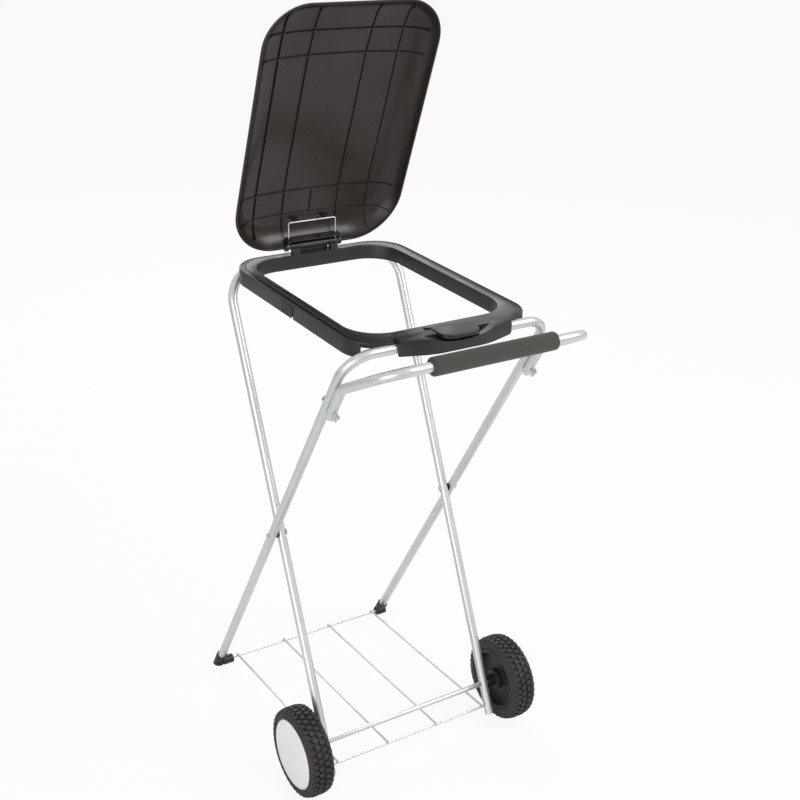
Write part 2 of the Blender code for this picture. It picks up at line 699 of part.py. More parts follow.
def make_wheel(word, turn):
    """A wheel with a plastic hub, a tyre with staggered tread blocks and a smooth cap over its outside."""
    side = math.copysign(1, turn)
    wheel_axis = empty("wheel_axis_" + word, (side * WHEEL_X, AXLE_Y, AXLE_Z), (0, turn, 0))
    edge = TYRE_HALF_W
    tyre_profile = [
        (RIM_R + GAP, CAP_SEAT - GAP),
        (CAP_R + RUN, CAP_SEAT - GAP),
        (CAP_R + 0.003, edge),
        (TYRE_R - SHOULDER_FROM, edge),
        (TYRE_R - SHOULDER_TO, edge - SHOULDER_TO),
        (TYRE_R - TREAD_FLOOR, 0.4 * edge),
        (TYRE_R - TREAD_FLOOR, -0.4 * edge),
        (TYRE_R - SHOULDER_TO, SHOULDER_TO - edge),
        (TYRE_R - SHOULDER_FROM, -edge),
        (RIM_R + GAP, -edge),
    ]
    tyre = turned("tyre_" + word, tyre_profile, RUBBER, wheel_axis, WHEEL_STEPS)
    blocks = bmesh.new()
    for index in range(BLOCK_COUNT):
        even = BLOCK_ANGLE * index
        odd = even + BLOCK_ANGLE / 2
        tread_block(blocks, even, TYRE_R, CENTRE_BLOCK_Z, CENTRE_BLOCK_W, 0)
        tread_block(blocks, odd, TYRE_R, -CENTRE_BLOCK_Z, CENTRE_BLOCK_W, 0)
        shoulder = TYRE_R - SHOULDER_DROP
        tread_block(blocks, odd, shoulder, SHOULDER_BLOCK_Z, SHOULDER_BLOCK_W, -SHOULDER_TILT)
        tread_block(blocks, even, shoulder, -SHOULDER_BLOCK_Z, SHOULDER_BLOCK_W, SHOULDER_TILT)
    tool_for(tyre, new_mesh("blocks", blocks), 'UNION', True)

    bore = AXLE_R + GAP
    web_out = HUB_WALL - TYRE_HALF_W + HUB_RECESS
    web_in = HUB_RECESS - TYRE_HALF_W
    hub_profile = [
        (bore, HUB_OUT),
        (0.75 * HUB_BOSS_R, HUB_OUT),
        (0.78 * HUB_BOSS_R, web_out),
        (RIM_R - 1.6 * HUB_WALL, web_out),
        (RIM_R - HUB_WALL, CAP_SEAT - GAP),
        (RIM_R, CAP_SEAT - GAP),
        (RIM_R, 0.0040 - edge),
        (RIM_R - 0.0015, 0.0022 - edge),
        (HUB_RECESS_R, 0.0022 - edge),
        (HUB_RECESS_R - 0.0012, web_in),
        (HUB_BOSS_R + 0.001, web_in),
        (HUB_BOSS_R, 0.0045 - edge),
        (HUB_BOSS_R - 0.0015, 0.0030 - edge),
        (HUB_NECK_R + 0.001, 0.0030 - edge),
        (HUB_NECK_R, RUN - WHEEL_GAP - edge),
        (bore, RUN - WHEEL_GAP - edge),
    ]
    turned("wheel_hub_" + word, hub_profile, BLACK, wheel_axis, WHEEL_STEPS)

    cap_profile = [
        (0, CAP_SEAT + CAP_T),
        (0.55 * CAP_R, CAP_SEAT + 0.96 * CAP_T),
        (0.88 * CAP_R, CAP_SEAT + 0.78 * CAP_T),
        (0.985 * CAP_R, CAP_SEAT + 0.50 * CAP_T),
        (CAP_R, CAP_SEAT + 0.22 * CAP_T),
        (CAP_R, CAP_SEAT),
        (0, CAP_SEAT),
    ]
    turned("hub_cap_" + word, cap_profile, WHITE, wheel_axis, WHEEL_STEPS)


def make_shelf():
    """The wire shelf: two cross wires and the long wires welded on top of them."""
    rise = math.atan2(BOSS_WORLD[1] - HINGE_WORLD[1], BOSS_WORLD[0] - HINGE_WORLD[0])
    length = math.hypot(BOSS_WORLD[0] - HINGE_WORLD[0], BOSS_WORLD[1] - HINGE_WORLD[1])
    shelf_axis = empty("shelf_axis", (0, *HINGE_WORLD), (rise, 0, 0))
    inner_end = WHEEL_LEG_X - TUBE_R + WIRE_END_IN_LEG
    outer_end = FOOT_LEG_X - BOSS_REACH + WIRE_END_IN_LEG
    shelf = bmesh.new()
    add_rod(shelf, (-inner_end, 0, 0), (inner_end, 0, 0), WIRE_R, WIRE_SIDES)
    mesh = new_mesh("wire_shelf", shelf)
    frame = add_part("wire_shelf", mesh, WIRE, shelf_axis)
    tool_for(frame, rods("far_wire", [((-outer_end, length, 0), (outer_end, length, 0))], WIRE_R, WIRE_SIDES), 'UNION')
    lift = 2 * WIRE_R - WIRE_SINK
    spans = []
    for index in range(SHELF_WIRES):
        x = SHELF_SIDE_X * (2 * index / (SHELF_WIRES - 1) - 1)
        spans.append(((x, -WIRE_TAIL, lift), (x, length + WIRE_TAIL, lift)))
    tool_for(frame, rods("long_wires", spans, WIRE_R, WIRE_SIDES), 'UNION')


def outer_loop(inset, height):
    """A loop of the bag ring, moved in from its outer outline."""
    radius = RING_CORNER - inset
    plan = rounded_rect(RING_HALF - inset, RING_FRONT + inset, RING_BACK - inset, radius, radius)
    return [(x, y, height) for x, y in plan]


def inner_loop(offset, height):
    """A loop of the clamp ring, moved out from the mouth of the bag."""
    radius = INNER_CORNER + offset
    plan = rounded_rect(INNER_HALF + offset, CLAMP_FRONT - offset, CLAMP_BACK + offset, radius, radius)
    return [(x, y, height) for x, y in plan]


def both_sides(low, high):
    """A box and its mirror image across the trolley."""
    return [(low, high), ((-high[0], *low[1:]), (-low[0], *high[1:]))]


def make_bag_ring(axis):
    """The outer ring: it drops over both crossbars, and its front holds the latch housing."""
    loops = [
        outer_loop(0, BOTTOM),
        outer_loop(0, TOP - RIM_ROUND),
        outer_loop(0.3 * RIM_ROUND, TOP - 0.3 * RIM_ROUND),
        outer_loop(RIM_ROUND, TOP),
        outer_loop(GROOVE_AT, TOP),
        outer_loop(GROOVE_AT + GROOVE_DEPTH / 2, TOP - GROOVE_DEPTH),
        outer_loop(GROOVE_AT + GROOVE_W, TOP - GROOVE_DEPTH),
        outer_loop(GROOVE_AT + GROOVE_W, TOP - GROOVE_DEPTH / 3),
        outer_loop(RIM_BAND, TOP - GROOVE_DEPTH / 3),
        outer_loop(RIM_BAND, LEDGE_TOP),
        outer_loop(RIM_BAND + LEDGE_W, LEDGE_TOP),
        outer_loop(RIM_BAND + LEDGE_W, BAR_TOP),
        outer_loop(RING_WALL, BAR_TOP),
        outer_loop(RING_WALL, BOTTOM),
    ]
    ring = add_part("bag_ring", loft("bag_ring", loops, True), BLACK, axis)

    low = BOTTOM - 0.01
    high = BAR_TOP - SLIVER
    front_wall = ((-FRONT_CUT_HALF, RING_FRONT - 0.01, low), (FRONT_CUT_HALF, RING_FRONT + 0.025, high))
    rear_walls = both_sides((REAR_CUT_FROM, -REAR_CUT_AHEAD, low), (RING_HALF + 0.01, RING_BACK + 0.01, high))
    tool_for(ring, boxes("openings", [front_wall, *rear_walls]), 'DIFFERENCE')
    add_housing(ring)

    clips = bmesh.new()
    for side in (-1, 1):
        x = side * (CLIP_X - CLIP_W / 2)
        add_prism(clips, clip_outline(x), (side * CLIP_W, 0, 0))
    tool_for(ring, new_mesh("clips", clips), 'UNION')

    pad_y = -PAD_FROM - PAD_LENGTH
    pads = both_sides((RING_HALF - 0.001, pad_y, BOTTOM + 0.0005),
                      (RING_HALF + PAD_PROUD, -PAD_FROM, TOP - 0.006))
    tool_for(ring, boxes("pads", pads), 'UNION')
    notches = both_sides((RING_HALF - 0.003, pad_y - 0.0005, BOTTOM - 0.001),
                         (RING_HALF + 0.002, pad_y + PAD_NOTCH, BOTTOM + 0.0045))
    tool_for(ring, boxes("pad_notches", notches), 'DIFFERENCE')

    ears = bmesh.new()
    for side in (-1, 1):
        inside = LUG_IN - GAP - RUN
        profile = lug_outline(side * inside, RIM_BAND_BACK, RING_BACK - 0.001, TOP - 0.002)
        add_prism(ears, profile, (-side * EAR_W, 0, 0))
    tool_for(ring, new_mesh("hinge_ears", ears), 'UNION')
    bore = [((-LUG_IN, HINGE_BACK, HINGE_UP), (LUG_IN, HINGE_BACK, HINGE_UP))]
    tool_for(ring, rods("ear_bore", bore, TRUNNION_R + GAP), 'DIFFERENCE')
    return ring


def clip_outline(x):
    """The side view of a clip that wraps round the back and the underside of the rear crossbar."""
    outline = [(x, RING_BACK - 0.001, BOTTOM + 0.001), (x, -CLIP_HOOK, BOTTOM + 0.001)]
    start = -math.pi / 2 - math.asin(CLIP_HOOK / BAR_TOP)
    end = math.radians(28)
    for step in range(9):
        angle = start + (end - start) * step / 8
        outline.append((x, BAR_TOP * math.cos(angle), BAR_TOP * math.sin(angle)))
    outline.append((x, RING_BACK - 0.001, BAR_TOP * math.sin(end)))
    return outline


def lug_outline(x, front, back, low):
    """The side view of a hinge lug: round at the hinge axis, on a straight neck."""
    neck = HINGE_UP - LUG_R - 0.002
    outline = [(x, back, neck), (x, back, low), (x, front, low), (x, front, neck)]
    for step in range(9):
        angle = math.pi * (1 - step / 8)
        outline.append((x, HINGE_BACK + LUG_R * math.cos(angle), HINGE_UP + LUG_R * math.sin(angle)))
    return outline


def bulge_outline(shrink, back, height):
    """The bulge of the latch housing seen from above, tapering to a slightly rounded nose."""
    front = HOUSING_FRONT + shrink
    nose = front - BULGE_REACH
    half = BULGE_HALF - shrink
    tip = BULGE_NOSE - shrink
    side = [(half, back), (half, front + 0.002), (half - 0.004, front - 0.002), (tip, nose + 0.002)]
    arc = [(tip * share, nose - 0.002 * (1 - share * share)) for share in (0.9, 0.45, 0, -0.45, -0.9)]
    mirrored = [(-x, y) for x, y in reversed(side)]
    return [(x, y, height) for x, y in side + arc + mirrored]


def add_housing(ring):
    """The latch housing: wings over the crossbar, a hollow bulge, a finger recess and the seat of the tab."""
    back = RING_FRONT + RIM_BAND
    wings = ((-HOUSING_HALF, HOUSING_FRONT, -HOUSING_DROP), (HOUSING_HALF, back - 0.0005, TOP - 0.0008))
    tool_for(ring, boxes("wings", [wings]), 'UNION')
    solid = prism("bulge", bulge_outline(0, back - 0.0012, -BULGE_DROP), (0, 0, BULGE_TOP + BULGE_DROP))
    tool_for(ring, solid, 'UNION')

    low = BOTTOM - 0.01
    inside = HOUSING_FRONT + HOUSING_WALL
    channel = ((-HOUSING_HALF - 0.01, inside, low), (HOUSING_HALF + 0.01, RING_FRONT + 0.03, BAR_TOP - SLIVER))
    tool_for(ring, boxes("channel", [channel]), 'DIFFERENCE')
    ceiling = DISH_FLOOR - HOUSING_WALL
    room = prism("room", bulge_outline(HOUSING_WALL, inside + 0.001, low), (0, 0, ceiling - low))
    tool_for(ring, room, 'DIFFERENCE')

    nose = HOUSING_FRONT - BULGE_REACH
    dish_z = DISH_FLOOR + DISH_R
    dish = [((0, nose - 0.01, dish_z), (0, HOUSING_FRONT + 0.0007, dish_z))]
    tool_for(ring, rods("dish", dish, DISH_R, 48), 'DIFFERENCE')
    seat_half = TAB_HALF + 2 * RUN
    seat = ((-seat_half, nose - 0.01, TAB_TOP - TAB_T - RUN), (seat_half, RING_FRONT + 0.02, TAB_TOP + 0.01))
    tool_for(ring, boxes("tab_seat", [seat]), 'DIFFERENCE')


def make_clamp_ring(axis):
    """The inner ring that holds the bag, with its thumb tab in front and its hinge lugs behind."""
    loops = [
        outer_loop(STEP_IN, FLANGE_LOW),
        outer_loop(STEP_IN, FLANGE_TOP - 0.0005),
        outer_loop(STEP_IN + 0.0005, FLANGE_TOP),
        inner_loop(0.0012, FLANGE_TOP - 0.0006),
        inner_loop(0, FLANGE_TOP - 0.0018),
        inner_loop(0, BOTTOM + 0.0008),
        inner_loop(CLAMP_WALL, BOTTOM + 0.0008),
        inner_loop(CLAMP_WALL, BAR_TOP + 0.0002),
        outer_loop(RIM_BAND + LEDGE_W + RUN, BAR_TOP + 0.0002),
        outer_loop(RIM_BAND + LEDGE_W + RUN, FLANGE_LOW),
    ]
    clamp = add_part("clamp_ring", loft("clamp_ring", loops, True), BLACK, axis, CLAMP_SHIFT)

    tip = -SPAN - TAB_REACH
    root = RING_FRONT + TAB_ROOT
    under = TAB_TOP - TAB_T
    start = RING_FRONT + RIM_BAND + 0.0015
    side = [(-TAB_HALF, tip, under), (-TAB_HALF, tip, TAB_TOP), (-TAB_HALF, start, TAB_TOP),
            (-TAB_HALF, root, FLANGE_TOP - 0.0008), (-TAB_HALF, start + 0.001, FLANGE_TOP - 0.0012),
            (-TAB_HALF, start, under)]
    tab = bpy.data.objects.new("thumb_tab", prism("thumb_tab", side, (2 * TAB_HALF, 0, 0)))
    tab.parent = clamp
    plan = [(x, y, -0.01) for x, y in rounded_rect(TAB_HALF, tip, root + 0.02, TAB_CORNER, 0.002)]
    shape = bpy.data.objects.new("tab_plan", prism("tab_plan", plan, (0, 0, 0.04)))
    shape.parent = clamp
    combine(tab, shape, 'INTERSECT')
    combine(clamp, tab, 'UNION')

    lugs = bmesh.new()
    trunnions = []
    pin_bores = []
    for end in (-1, 1):
        outline = lug_outline(end * LUG_IN, CLAMP_BACK + CLAMP_WALL, RING_BACK - STEP_IN, FLANGE_LOW + 0.0005)
        add_prism(lugs, outline, (end * (LUG_OUT - LUG_IN), 0, 0))
        trunnions.append(((end * (LUG_IN + 0.004), HINGE_BACK, HINGE_UP),
                          (end * (LUG_IN - TRUNNION_L), HINGE_BACK, HINGE_UP)))
        pin_bores.append(((end * (LUG_OUT + 0.001), HINGE_BACK, HINGE_UP),
                          (end * (LUG_IN + 0.002), HINGE_BACK, HINGE_UP)))
    tool_for(clamp, new_mesh("lugs", lugs), 'UNION')
    tool_for(clamp, rods("trunnions", trunnions, TRUNNION_R), 'UNION')
    tool_for(clamp, rods("pin_bores", pin_bores, HINGE_WIRE_R + GAP), 'DIFFERENCE')
    return clamp


def lid_loop(inset, depth):
    """A loop of the lid at one inset from its edge; the hinge side lies at the lid's own origin."""
    share = 1 - inset / LID_HALF
    plan = rounded_rect(LID_HALF - inset, -LID_LENGTH + inset, -inset, LID_CORNER_TOP * share,
                        LID_CORNER_HINGE * share, CORNER_STEPS)
    return [(x, y, depth - LID_RIM_DROP) for x, y in plan]


def crown(inset):
    """How far the outside of the lid stands above its rim at one inset from the edge."""
    steep = 1 - math.exp(-inset / 0.014)
    broad = math.sin(min(inset / LID_HALF, 1) * math.pi / 2) ** 0.8
    return LID_CROWN * (0.42 * steep + 0.58 * broad)


def shell_loops(thick):
    """Loops over the outside of the lid and back along the inside, a wall apart."""
    insets = [0.86, 0.58, 0.36, 0.20, 0.11, 0.06, 0.025]
    outside = [lid_loop(share * LID_HALF, crown(share * LID_HALF)) for share in insets]
    inside = [lid_loop(share * LID_HALF + 0.6 * thick, crown(share * LID_HALF) - thick) for share in insets]
    return outside, inside[::-1]


def make_lid(axis):
    """The domed lid with a rolled rim, a grid of stiffening ribs and a recess for its hinge."""
    outside, inside = shell_loops(LID_WALL)
    rim = [
        lid_loop(0, 0.0030),
        lid_loop(0, 0.0007),
        lid_loop(0.0007, 0),
        lid_loop(LID_BEAD - 0.0007, 0),
        lid_loop(LID_BEAD, 0.0007),
        lid_loop(LID_BEAD, 0.0030),
    ]
    inside = [loop for loop in inside if loop[0][2] > 0.0035 - LID_RIM_DROP]
    lid = add_part("lid", loft("lid", outside + rim + inside, False), LID_BLACK, axis)
    tool_for(lid, lid_ribs(lid), 'UNION')

    top = LID_RECESS_UP - LID_RIM_DROP
    recess = boxes("hinge_recess", [((-LID_RECESS_HALF, -LID_RECESS, -0.01), (LID_RECESS_HALF, 0.01, top))])
    tool_for(lid, recess, 'DIFFERENCE')
    clip_y = -HINGE_WIRE_UP
    clips = bmesh.new()
    for end in (-1, 1):
        x = end * WIRE_CLIP_X
        add_box(clips, (x - WIRE_CLIP / 2, clip_y - 0.0035, WIRE_TOP_Z - 0.0026),
                (x + WIRE_CLIP / 2, clip_y + 0.0035, WIRE_TOP_Z + WIRE_CLIP_RISE))
    tool_for(lid, new_mesh("wire_clips", clips), 'UNION')
    way = [((-HINGE_WIRE_X, clip_y, WIRE_TOP_Z), (HINGE_WIRE_X, clip_y, WIRE_TOP_Z))]
    tool_for(lid, rods("wire_way", way, HINGE_WIRE_R + GAP), 'DIFFERENCE')
    return lid


def lid_ribs(lid):
    """The ribs under the lid: a grid of thin walls kept to a layer just inside the shell."""
    low = LID_WALL + RIB_H
    layer_loops = []
    insets = [0.85, 0.55, 0.32, 0.17, 0.08]
    for share in insets:
        layer_loops.append(lid_loop(share * LID_HALF + 0.0006, crown(share * LID_HALF) - 0.0008))
    for share in reversed(insets):
        layer_loops.append(lid_loop(share * LID_HALF + 0.0018, crown(share * LID_HALF) - low))
    layer = bpy.data.objects.new("rib_layer", loft("rib_layer", layer_loops, False))
    layer.parent = lid
    walls = []
    for x in RIB_X:
        walls += both_sides((x - RIB_T / 2, -LID_LENGTH + 0.024, 0), (x + RIB_T / 2, -0.024, 0.05))
    grid = bpy.data.objects.new("rib_grid", boxes("rib_grid", walls))
    grid.parent = lid
    crossing = []
    for s in RIB_S:
        crossing.append(((-LID_HALF + 0.016, -s - RIB_T / 2, 0), (LID_HALF - 0.016, -s + RIB_T / 2, 0.05)))
    crossing.append(((-RIB_T / 2, -RIB_S[1], 0), (RIB_T / 2, -RIB_S[0], 0.05)))
    across = bpy.data.objects.new("rib_cross", boxes("rib_cross", crossing))
    across.parent = lid
    combine(grid, across, 'UNION')
    combine(layer, grid, 'INTERSECT')
    return layer


def make_hinge_wire(axis):
    """The bent wire that is clipped inside the lid and whose ends are the lid's hinge pins."""
    top = (HINGE_WIRE_UP, WIRE_TOP_Z)
    pin = LUG_IN + 0.004
    points = []
    for end in (-1, 1):
        arm = [(end * pin, 0, 0), (end * HINGE_WIRE_X, 0, 0), (end * HINGE_WIRE_X, -top[0], top[1])]
        points.extend(arm[::-end])
    path = filleted(points, [0.002, 0.003, 0.003, 0.002])
    add_part("hinge_wire", swept("hinge_wire", path, HINGE_WIRE_R, WIRE_SIDES, True), WIRE, axis)


def main():
    """Build the whole trolley."""
    wheel_axis = empty("wheel_frame_axis", (0, PIVOT_Y, PIVOT_Z), (-LEAN_WHEEL, 0, 0))
    foot_axis = empty("fold_axis", (0, PIVOT_Y, PIVOT_Z), (LEAN_FOOT, 0, 0))
    make_wheel_frame(wheel_axis)
    make_foot_frame(foot_axis)
    make_pivots(wheel_axis)
    make_handle(foot_axis)
    make_handle_bolts(foot_axis)
    make_foot_caps(foot_axis)
    make_axle(wheel_axis)
    make_wheel("left", -math.pi / 2)
    make_wheel("right", math.pi / 2)
    make_shelf()

    bar = (0, PIVOT_Y + REAR_BAR, RIM_Z)
    ring_axis = empty("ring_axis", bar)
    make_bag_ring(ring_axis)
    hinge = (0, HINGE_BACK, HINGE_UP)
    clamp_axis = empty("clamp_axis", hinge, (0, 0, 0), ring_axis)
    make_clamp_ring(clamp_axis)
    lid_axis = empty("lid_axis", (0, 0, 0), (-LID_OPEN, 0, 0), clamp_axis)
    make_lid(lid_axis)
    make_hinge_wire(lid_axis)


main()
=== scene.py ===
"""A folding bag trolley with an open lid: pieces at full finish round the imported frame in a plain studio.

Each operator makes one piece or one group of like pieces. All lengths are in metres.
"""
import json
import math
from contextlib import contextmanager

import bmesh
import bpy
from mathutils import Matrix, Quaternion, Vector


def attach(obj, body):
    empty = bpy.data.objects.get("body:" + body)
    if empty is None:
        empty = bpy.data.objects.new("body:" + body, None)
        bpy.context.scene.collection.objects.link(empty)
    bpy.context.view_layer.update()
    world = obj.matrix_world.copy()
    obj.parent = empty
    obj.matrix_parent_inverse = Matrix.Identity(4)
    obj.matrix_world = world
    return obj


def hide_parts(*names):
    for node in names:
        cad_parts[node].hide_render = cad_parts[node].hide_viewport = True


bl_info = {
    "name": "Bag Trolley",
    "version": (1, 0, 0),
    "blender": (4, 5, 0),
    "location": "View3D > Sidebar > Bag Trolley",
    "description": "Builds a folding bag trolley piece by piece, with its finishes and a studio",
    "category": "Object",
}

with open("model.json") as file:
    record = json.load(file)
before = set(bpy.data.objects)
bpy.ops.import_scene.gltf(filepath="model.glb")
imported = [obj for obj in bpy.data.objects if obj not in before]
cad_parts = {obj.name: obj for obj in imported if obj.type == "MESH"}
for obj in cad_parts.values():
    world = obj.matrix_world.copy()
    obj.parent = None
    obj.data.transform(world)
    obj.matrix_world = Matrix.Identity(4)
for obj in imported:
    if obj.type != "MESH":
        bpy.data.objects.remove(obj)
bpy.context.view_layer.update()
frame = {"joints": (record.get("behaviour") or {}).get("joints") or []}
JOINTS = {joint["name"]: joint for joint in frame["joints"]}

# Places that the frame gives
PIVOT = Vector(JOINTS["fold"]["pos_m"])
REAR_BAR = Vector(JOINTS["ring_tilt"]["pos_m"])
LID_HINGE = Vector(JOINTS["lid_hinge"]["pos_m"])
SHELF_HINGE = Vector(JOINTS["shelf_tilt"]["pos_m"])
LEFT_WHEEL = Vector(JOINTS["wheel_spin_left"]["pos_m"])
RIGHT_WHEEL = Vector(JOINTS["wheel_spin_right"]["pos_m"])
SIDES = ((-1, "left"), (1, "right"))

# Clearances between pieces, and how near counts as the same place
GAP = 0.0003
RUN = 0.0005
NEAR = 0.00001

# Frames, as seen from the side
FRONT_BAR = 0.2383
RISE = REAR_BAR.z - PIVOT.z
LEAN_WHEEL = math.atan2(REAR_BAR.y - PIVOT.y, RISE)
LEAN_FOOT = math.atan2(FRONT_BAR, RISE)
WHEEL_UP = math.hypot(REAR_BAR.y - PIVOT.y, RISE)
FOOT_UP = math.hypot(FRONT_BAR, RISE)
SPAN = REAR_BAR.y - PIVOT.y + FRONT_BAR
WHEEL_LEG_X = 0.172
FOOT_LEG_X = 0.1892
AXLE_DOWN = (PIVOT.z - LEFT_WHEEL.z) / math.cos(LEAN_WHEEL)
LEG_TAIL = 0.0595
FOOT_DOWN = (PIVOT.z - 0.004 - 0.008 * math.sin(LEAN_FOOT)) / math.cos(LEAN_FOOT)
SOLE_DOWN = PIVOT.z / math.cos(LEAN_FOOT)
HANDLE_TURN = math.radians(31.4)
SLOT_TURN = math.radians(30.5)

# Axle, hubs and the hinge of the shelf
AXLE_R = 0.0045
AXLE_PAST = 0.0135
HUB_FACE = 0.0095
HUB_NECK = 0.012
HUB_WEB = 0.004
CAP_THICK = 0.0032
SHELF_DROP = 0.0423

# Lid
LID_LENGTH = 0.464
LID_RIM_DROP = 0.0047
LID_OPEN = math.radians(71)
LID_PLACE = Matrix.Translation(LID_HINGE) @ Matrix.Rotation(-LID_OPEN, 4, 'X')

# Hinge of the lid: the barrel's half length, the pins, and the corners of the wire
HINGE = LID_HINGE - REAR_BAR
BARREL = 0.031
PIN_R = 0.003
WIRE_OUT = 0.0475
WIRE_UP = 0.040
WIRE_TOP = 0.0212 - LID_RIM_DROP


def leaning(angle):
    """The place of a frame that leans by an angle about the pivots."""
    return Matrix.Translation(PIVOT) @ Matrix.Rotation(angle, 4, 'X')


WHEEL_FRAME_PLACE = leaning(-LEAN_WHEEL)
FOOT_FRAME_PLACE = leaning(LEAN_FOOT)


def size(name, value, description):
    """A length that a user can change."""
    return bpy.props.FloatProperty(name=name, description=description, default=value, min=0, unit='LENGTH',
                                   precision=4)


def count(name, value, description):
    """A whole number that a user can change."""
    return bpy.props.IntProperty(name=name, description=description, default=value, min=3)


def tint(name, value, description):
    """A colour that a user can change."""
    return bpy.props.FloatVectorProperty(name=name, description=description, default=value, subtype='COLOR',
                                         size=3, min=0, max=1)


def rest():
    """Leave edit mode and deselect everything."""
    if bpy.context.object and bpy.context.object.mode != 'OBJECT':
        bpy.ops.object.mode_set(mode='OBJECT')
    bpy.ops.object.select_all(action='DESELECT')


def only(piece):
    """Select one piece alone and make it active."""
    rest()
    piece.select_set(True)
    bpy.context.view_layer.objects.active = piece


@contextmanager
def editing(piece):
    """Edit one piece, all of it selected at first."""
    only(piece)
    bpy.ops.object.mode_set(mode='EDIT')
    bpy.ops.mesh.select_mode(type='VERT')
    bpy.ops.mesh.select_all(action='SELECT')
    yield
    bpy.ops.object.mode_set(mode='OBJECT')


def pick(piece, test, kind='VERT'):
    """In edit mode, select the corners, edges or faces whose middle passes a test."""
    bpy.ops.mesh.select_mode(type=kind)
    bpy.ops.mesh.select_all(action='DESELECT')
    mesh = bmesh.from_edit_mesh(piece.data)
    if kind == 'VERT':
        for vert in mesh.verts:
            vert.select_set(test(vert.co))
    elif kind == 'EDGE':
        for edge in mesh.edges:
            edge.select_set(test((edge.verts[0].co + edge.verts[1].co) / 2))
    else:
        for face in mesh.faces:
            face.select_set(test(face.calc_center_median()))
    mesh.select_flush_mode()
    bmesh.update_edit_mesh(piece.data)


def named(name):
    """Name the piece that was just added and give its mesh the place."""
    piece = bpy.context.object
    piece.name = name
    only(piece)
    bpy.ops.object.transform_apply(location=True, rotation=True, scale=True)
    return piece


def settle(piece, place):
    """Move a piece that was modelled at the origin to its place, in its mesh."""
    only(piece)
    piece.matrix_world = place @ piece.matrix_world
    bpy.ops.object.transform_apply(location=True, rotation=True, scale=True)


def extrude(step):
    """In edit mode, extrude what is selected by a step."""
    bpy.ops.mesh.extrude_region_move(TRANSFORM_OT_translate={"value": tuple(step)})


def inset(*steps):
    """In edit mode, inset what is selected by steps of width and rise."""
    for width, rise in steps:
        bpy.ops.mesh.inset(thickness=width, depth=rise)


def drop_faces():
    """In edit mode, delete the selected faces."""
    bpy.ops.mesh.delete(type='FACE')


def soften(piece, test, kind, width, segments):
    """In edit mode, bevel the edges or faces whose middle passes a test."""
    pick(piece, test, kind)
    bpy.ops.mesh.bevel(offset=width, segments=segments)


def fill_open():
    """In edit mode, close every open end with a flat face."""
    bpy.ops.mesh.select_all(action='DESELECT')
    bpy.ops.mesh.select_non_manifold()
    bpy.ops.mesh.edge_face_add()


def face_out(merge=0.0):
    """In edit mode, merge what lies closer than a distance, and turn every face outwards."""
    bpy.ops.mesh.select_mode(type='VERT')
    bpy.ops.mesh.select_all(action='SELECT')
    if merge:
        bpy.ops.mesh.remove_doubles(threshold=merge)
    bpy.ops.mesh.normals_make_consistent(inside=False)


def keep(piece, kind, name, **settings):
    """Add a modifier with its settings and apply it."""
    only(piece)
    modifier = piece.modifiers.new(name, kind)
    for key, value in settings.items():
        setattr(modifier, key, value)
    bpy.ops.object.modifier_apply(modifier=modifier.name)


def carve(piece, tool, operation='DIFFERENCE', crossing=False):
    """Cut, join or intersect a piece with a tool body, and remove the tool."""
    keep(piece, 'BOOLEAN', "carve", operation=operation, object=tool, solver='EXACT', use_self=crossing)
    bpy.data.objects.remove(tool)


def block(corner, opposite):
    """A box between two opposite corners, as a tool body."""
    low = Vector([min(pair) for pair in zip(corner, opposite)])
    high = Vector([max(pair) for pair in zip(corner, opposite)])
    rest()
    bpy.ops.mesh.primitive_cube_add(size=1, location=(low + high) / 2, scale=high - low)
    return named("tool_block")


def dowel(start, end, radius, sides=32):
    """A round rod between two points, as a tool body."""
    start = Vector(start)
    end = Vector(end)
    turn = (end - start).to_track_quat('Z', 'Y').to_euler()
    rest()
    bpy.ops.mesh.primitive_cylinder_add(vertices=sides, radius=radius, depth=(end - start).length,
                                        location=(start + end) / 2, rotation=turn)
    return named("tool_dowel")


def join(pieces, name):
    """Join pieces into one object."""
    rest()
    for piece in pieces:
        piece.select_set(True)
    bpy.context.view_layer.objects.active = pieces[0]
    bpy.ops.object.join()
    pieces[0].name = name
    return pieces[0]


def finish(piece, material, body, nodes, angle=32):
    """Smooth a piece, give it its material, and hang it on its body in place of the nodes it replaces."""
    only(piece)
    bpy.ops.object.shade_smooth_by_angle(angle=math.radians(angle))
    piece.data.materials.clear()
    piece.data.materials.append(material)
    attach(piece, body)
    if nodes:
        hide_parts(*nodes)
    return piece


def bent_tube(name, radius, points, bends, sides=32, bend_steps=12):
    """A round bar along a path of corners: a ring is extruded along each run and spun round each bend."""
    points = [Vector(point) for point in points]
    heading = (points[1] - points[0]).normalized()
    rest()
    bpy.ops.mesh.primitive_circle_add(vertices=sides, radius=radius, location=points[0],
                                      rotation=heading.to_track_quat('Z', 'Y').to_euler())
    tube = named(name)
    here = points[0]
    with editing(tube):
        for before, corner, after, bend in zip(points, points[1:], points[2:], bends):
            back = (before - corner).normalized()
            ahead = (after - corner).normalized()
            half = back.angle(ahead) / 2
            tangent = corner + back * bend / math.tan(half)
            centre = corner + (back + ahead).normalized() * bend / math.sin(half)
            extrude(tangent - here)
            bpy.ops.mesh.spin(steps=bend_steps, angle=2 * half - math.pi, center=centre,
                              axis=ahead.cross(back))
            here = corner + ahead * bend / math.tan(half)
        extrude(points[-1] - here)
        face_out(NEAR)
    return tube


def hollow_tube(tubes, name, points, bend):
    """A bent tube with its wall, and every bend alike."""
    tube = bent_tube(name, tubes.radius, points, [bend] * (len(points) - 2))
    keep(tube, 'SOLIDIFY', "wall", thickness=tubes.wall, offset=-1)
    return tube


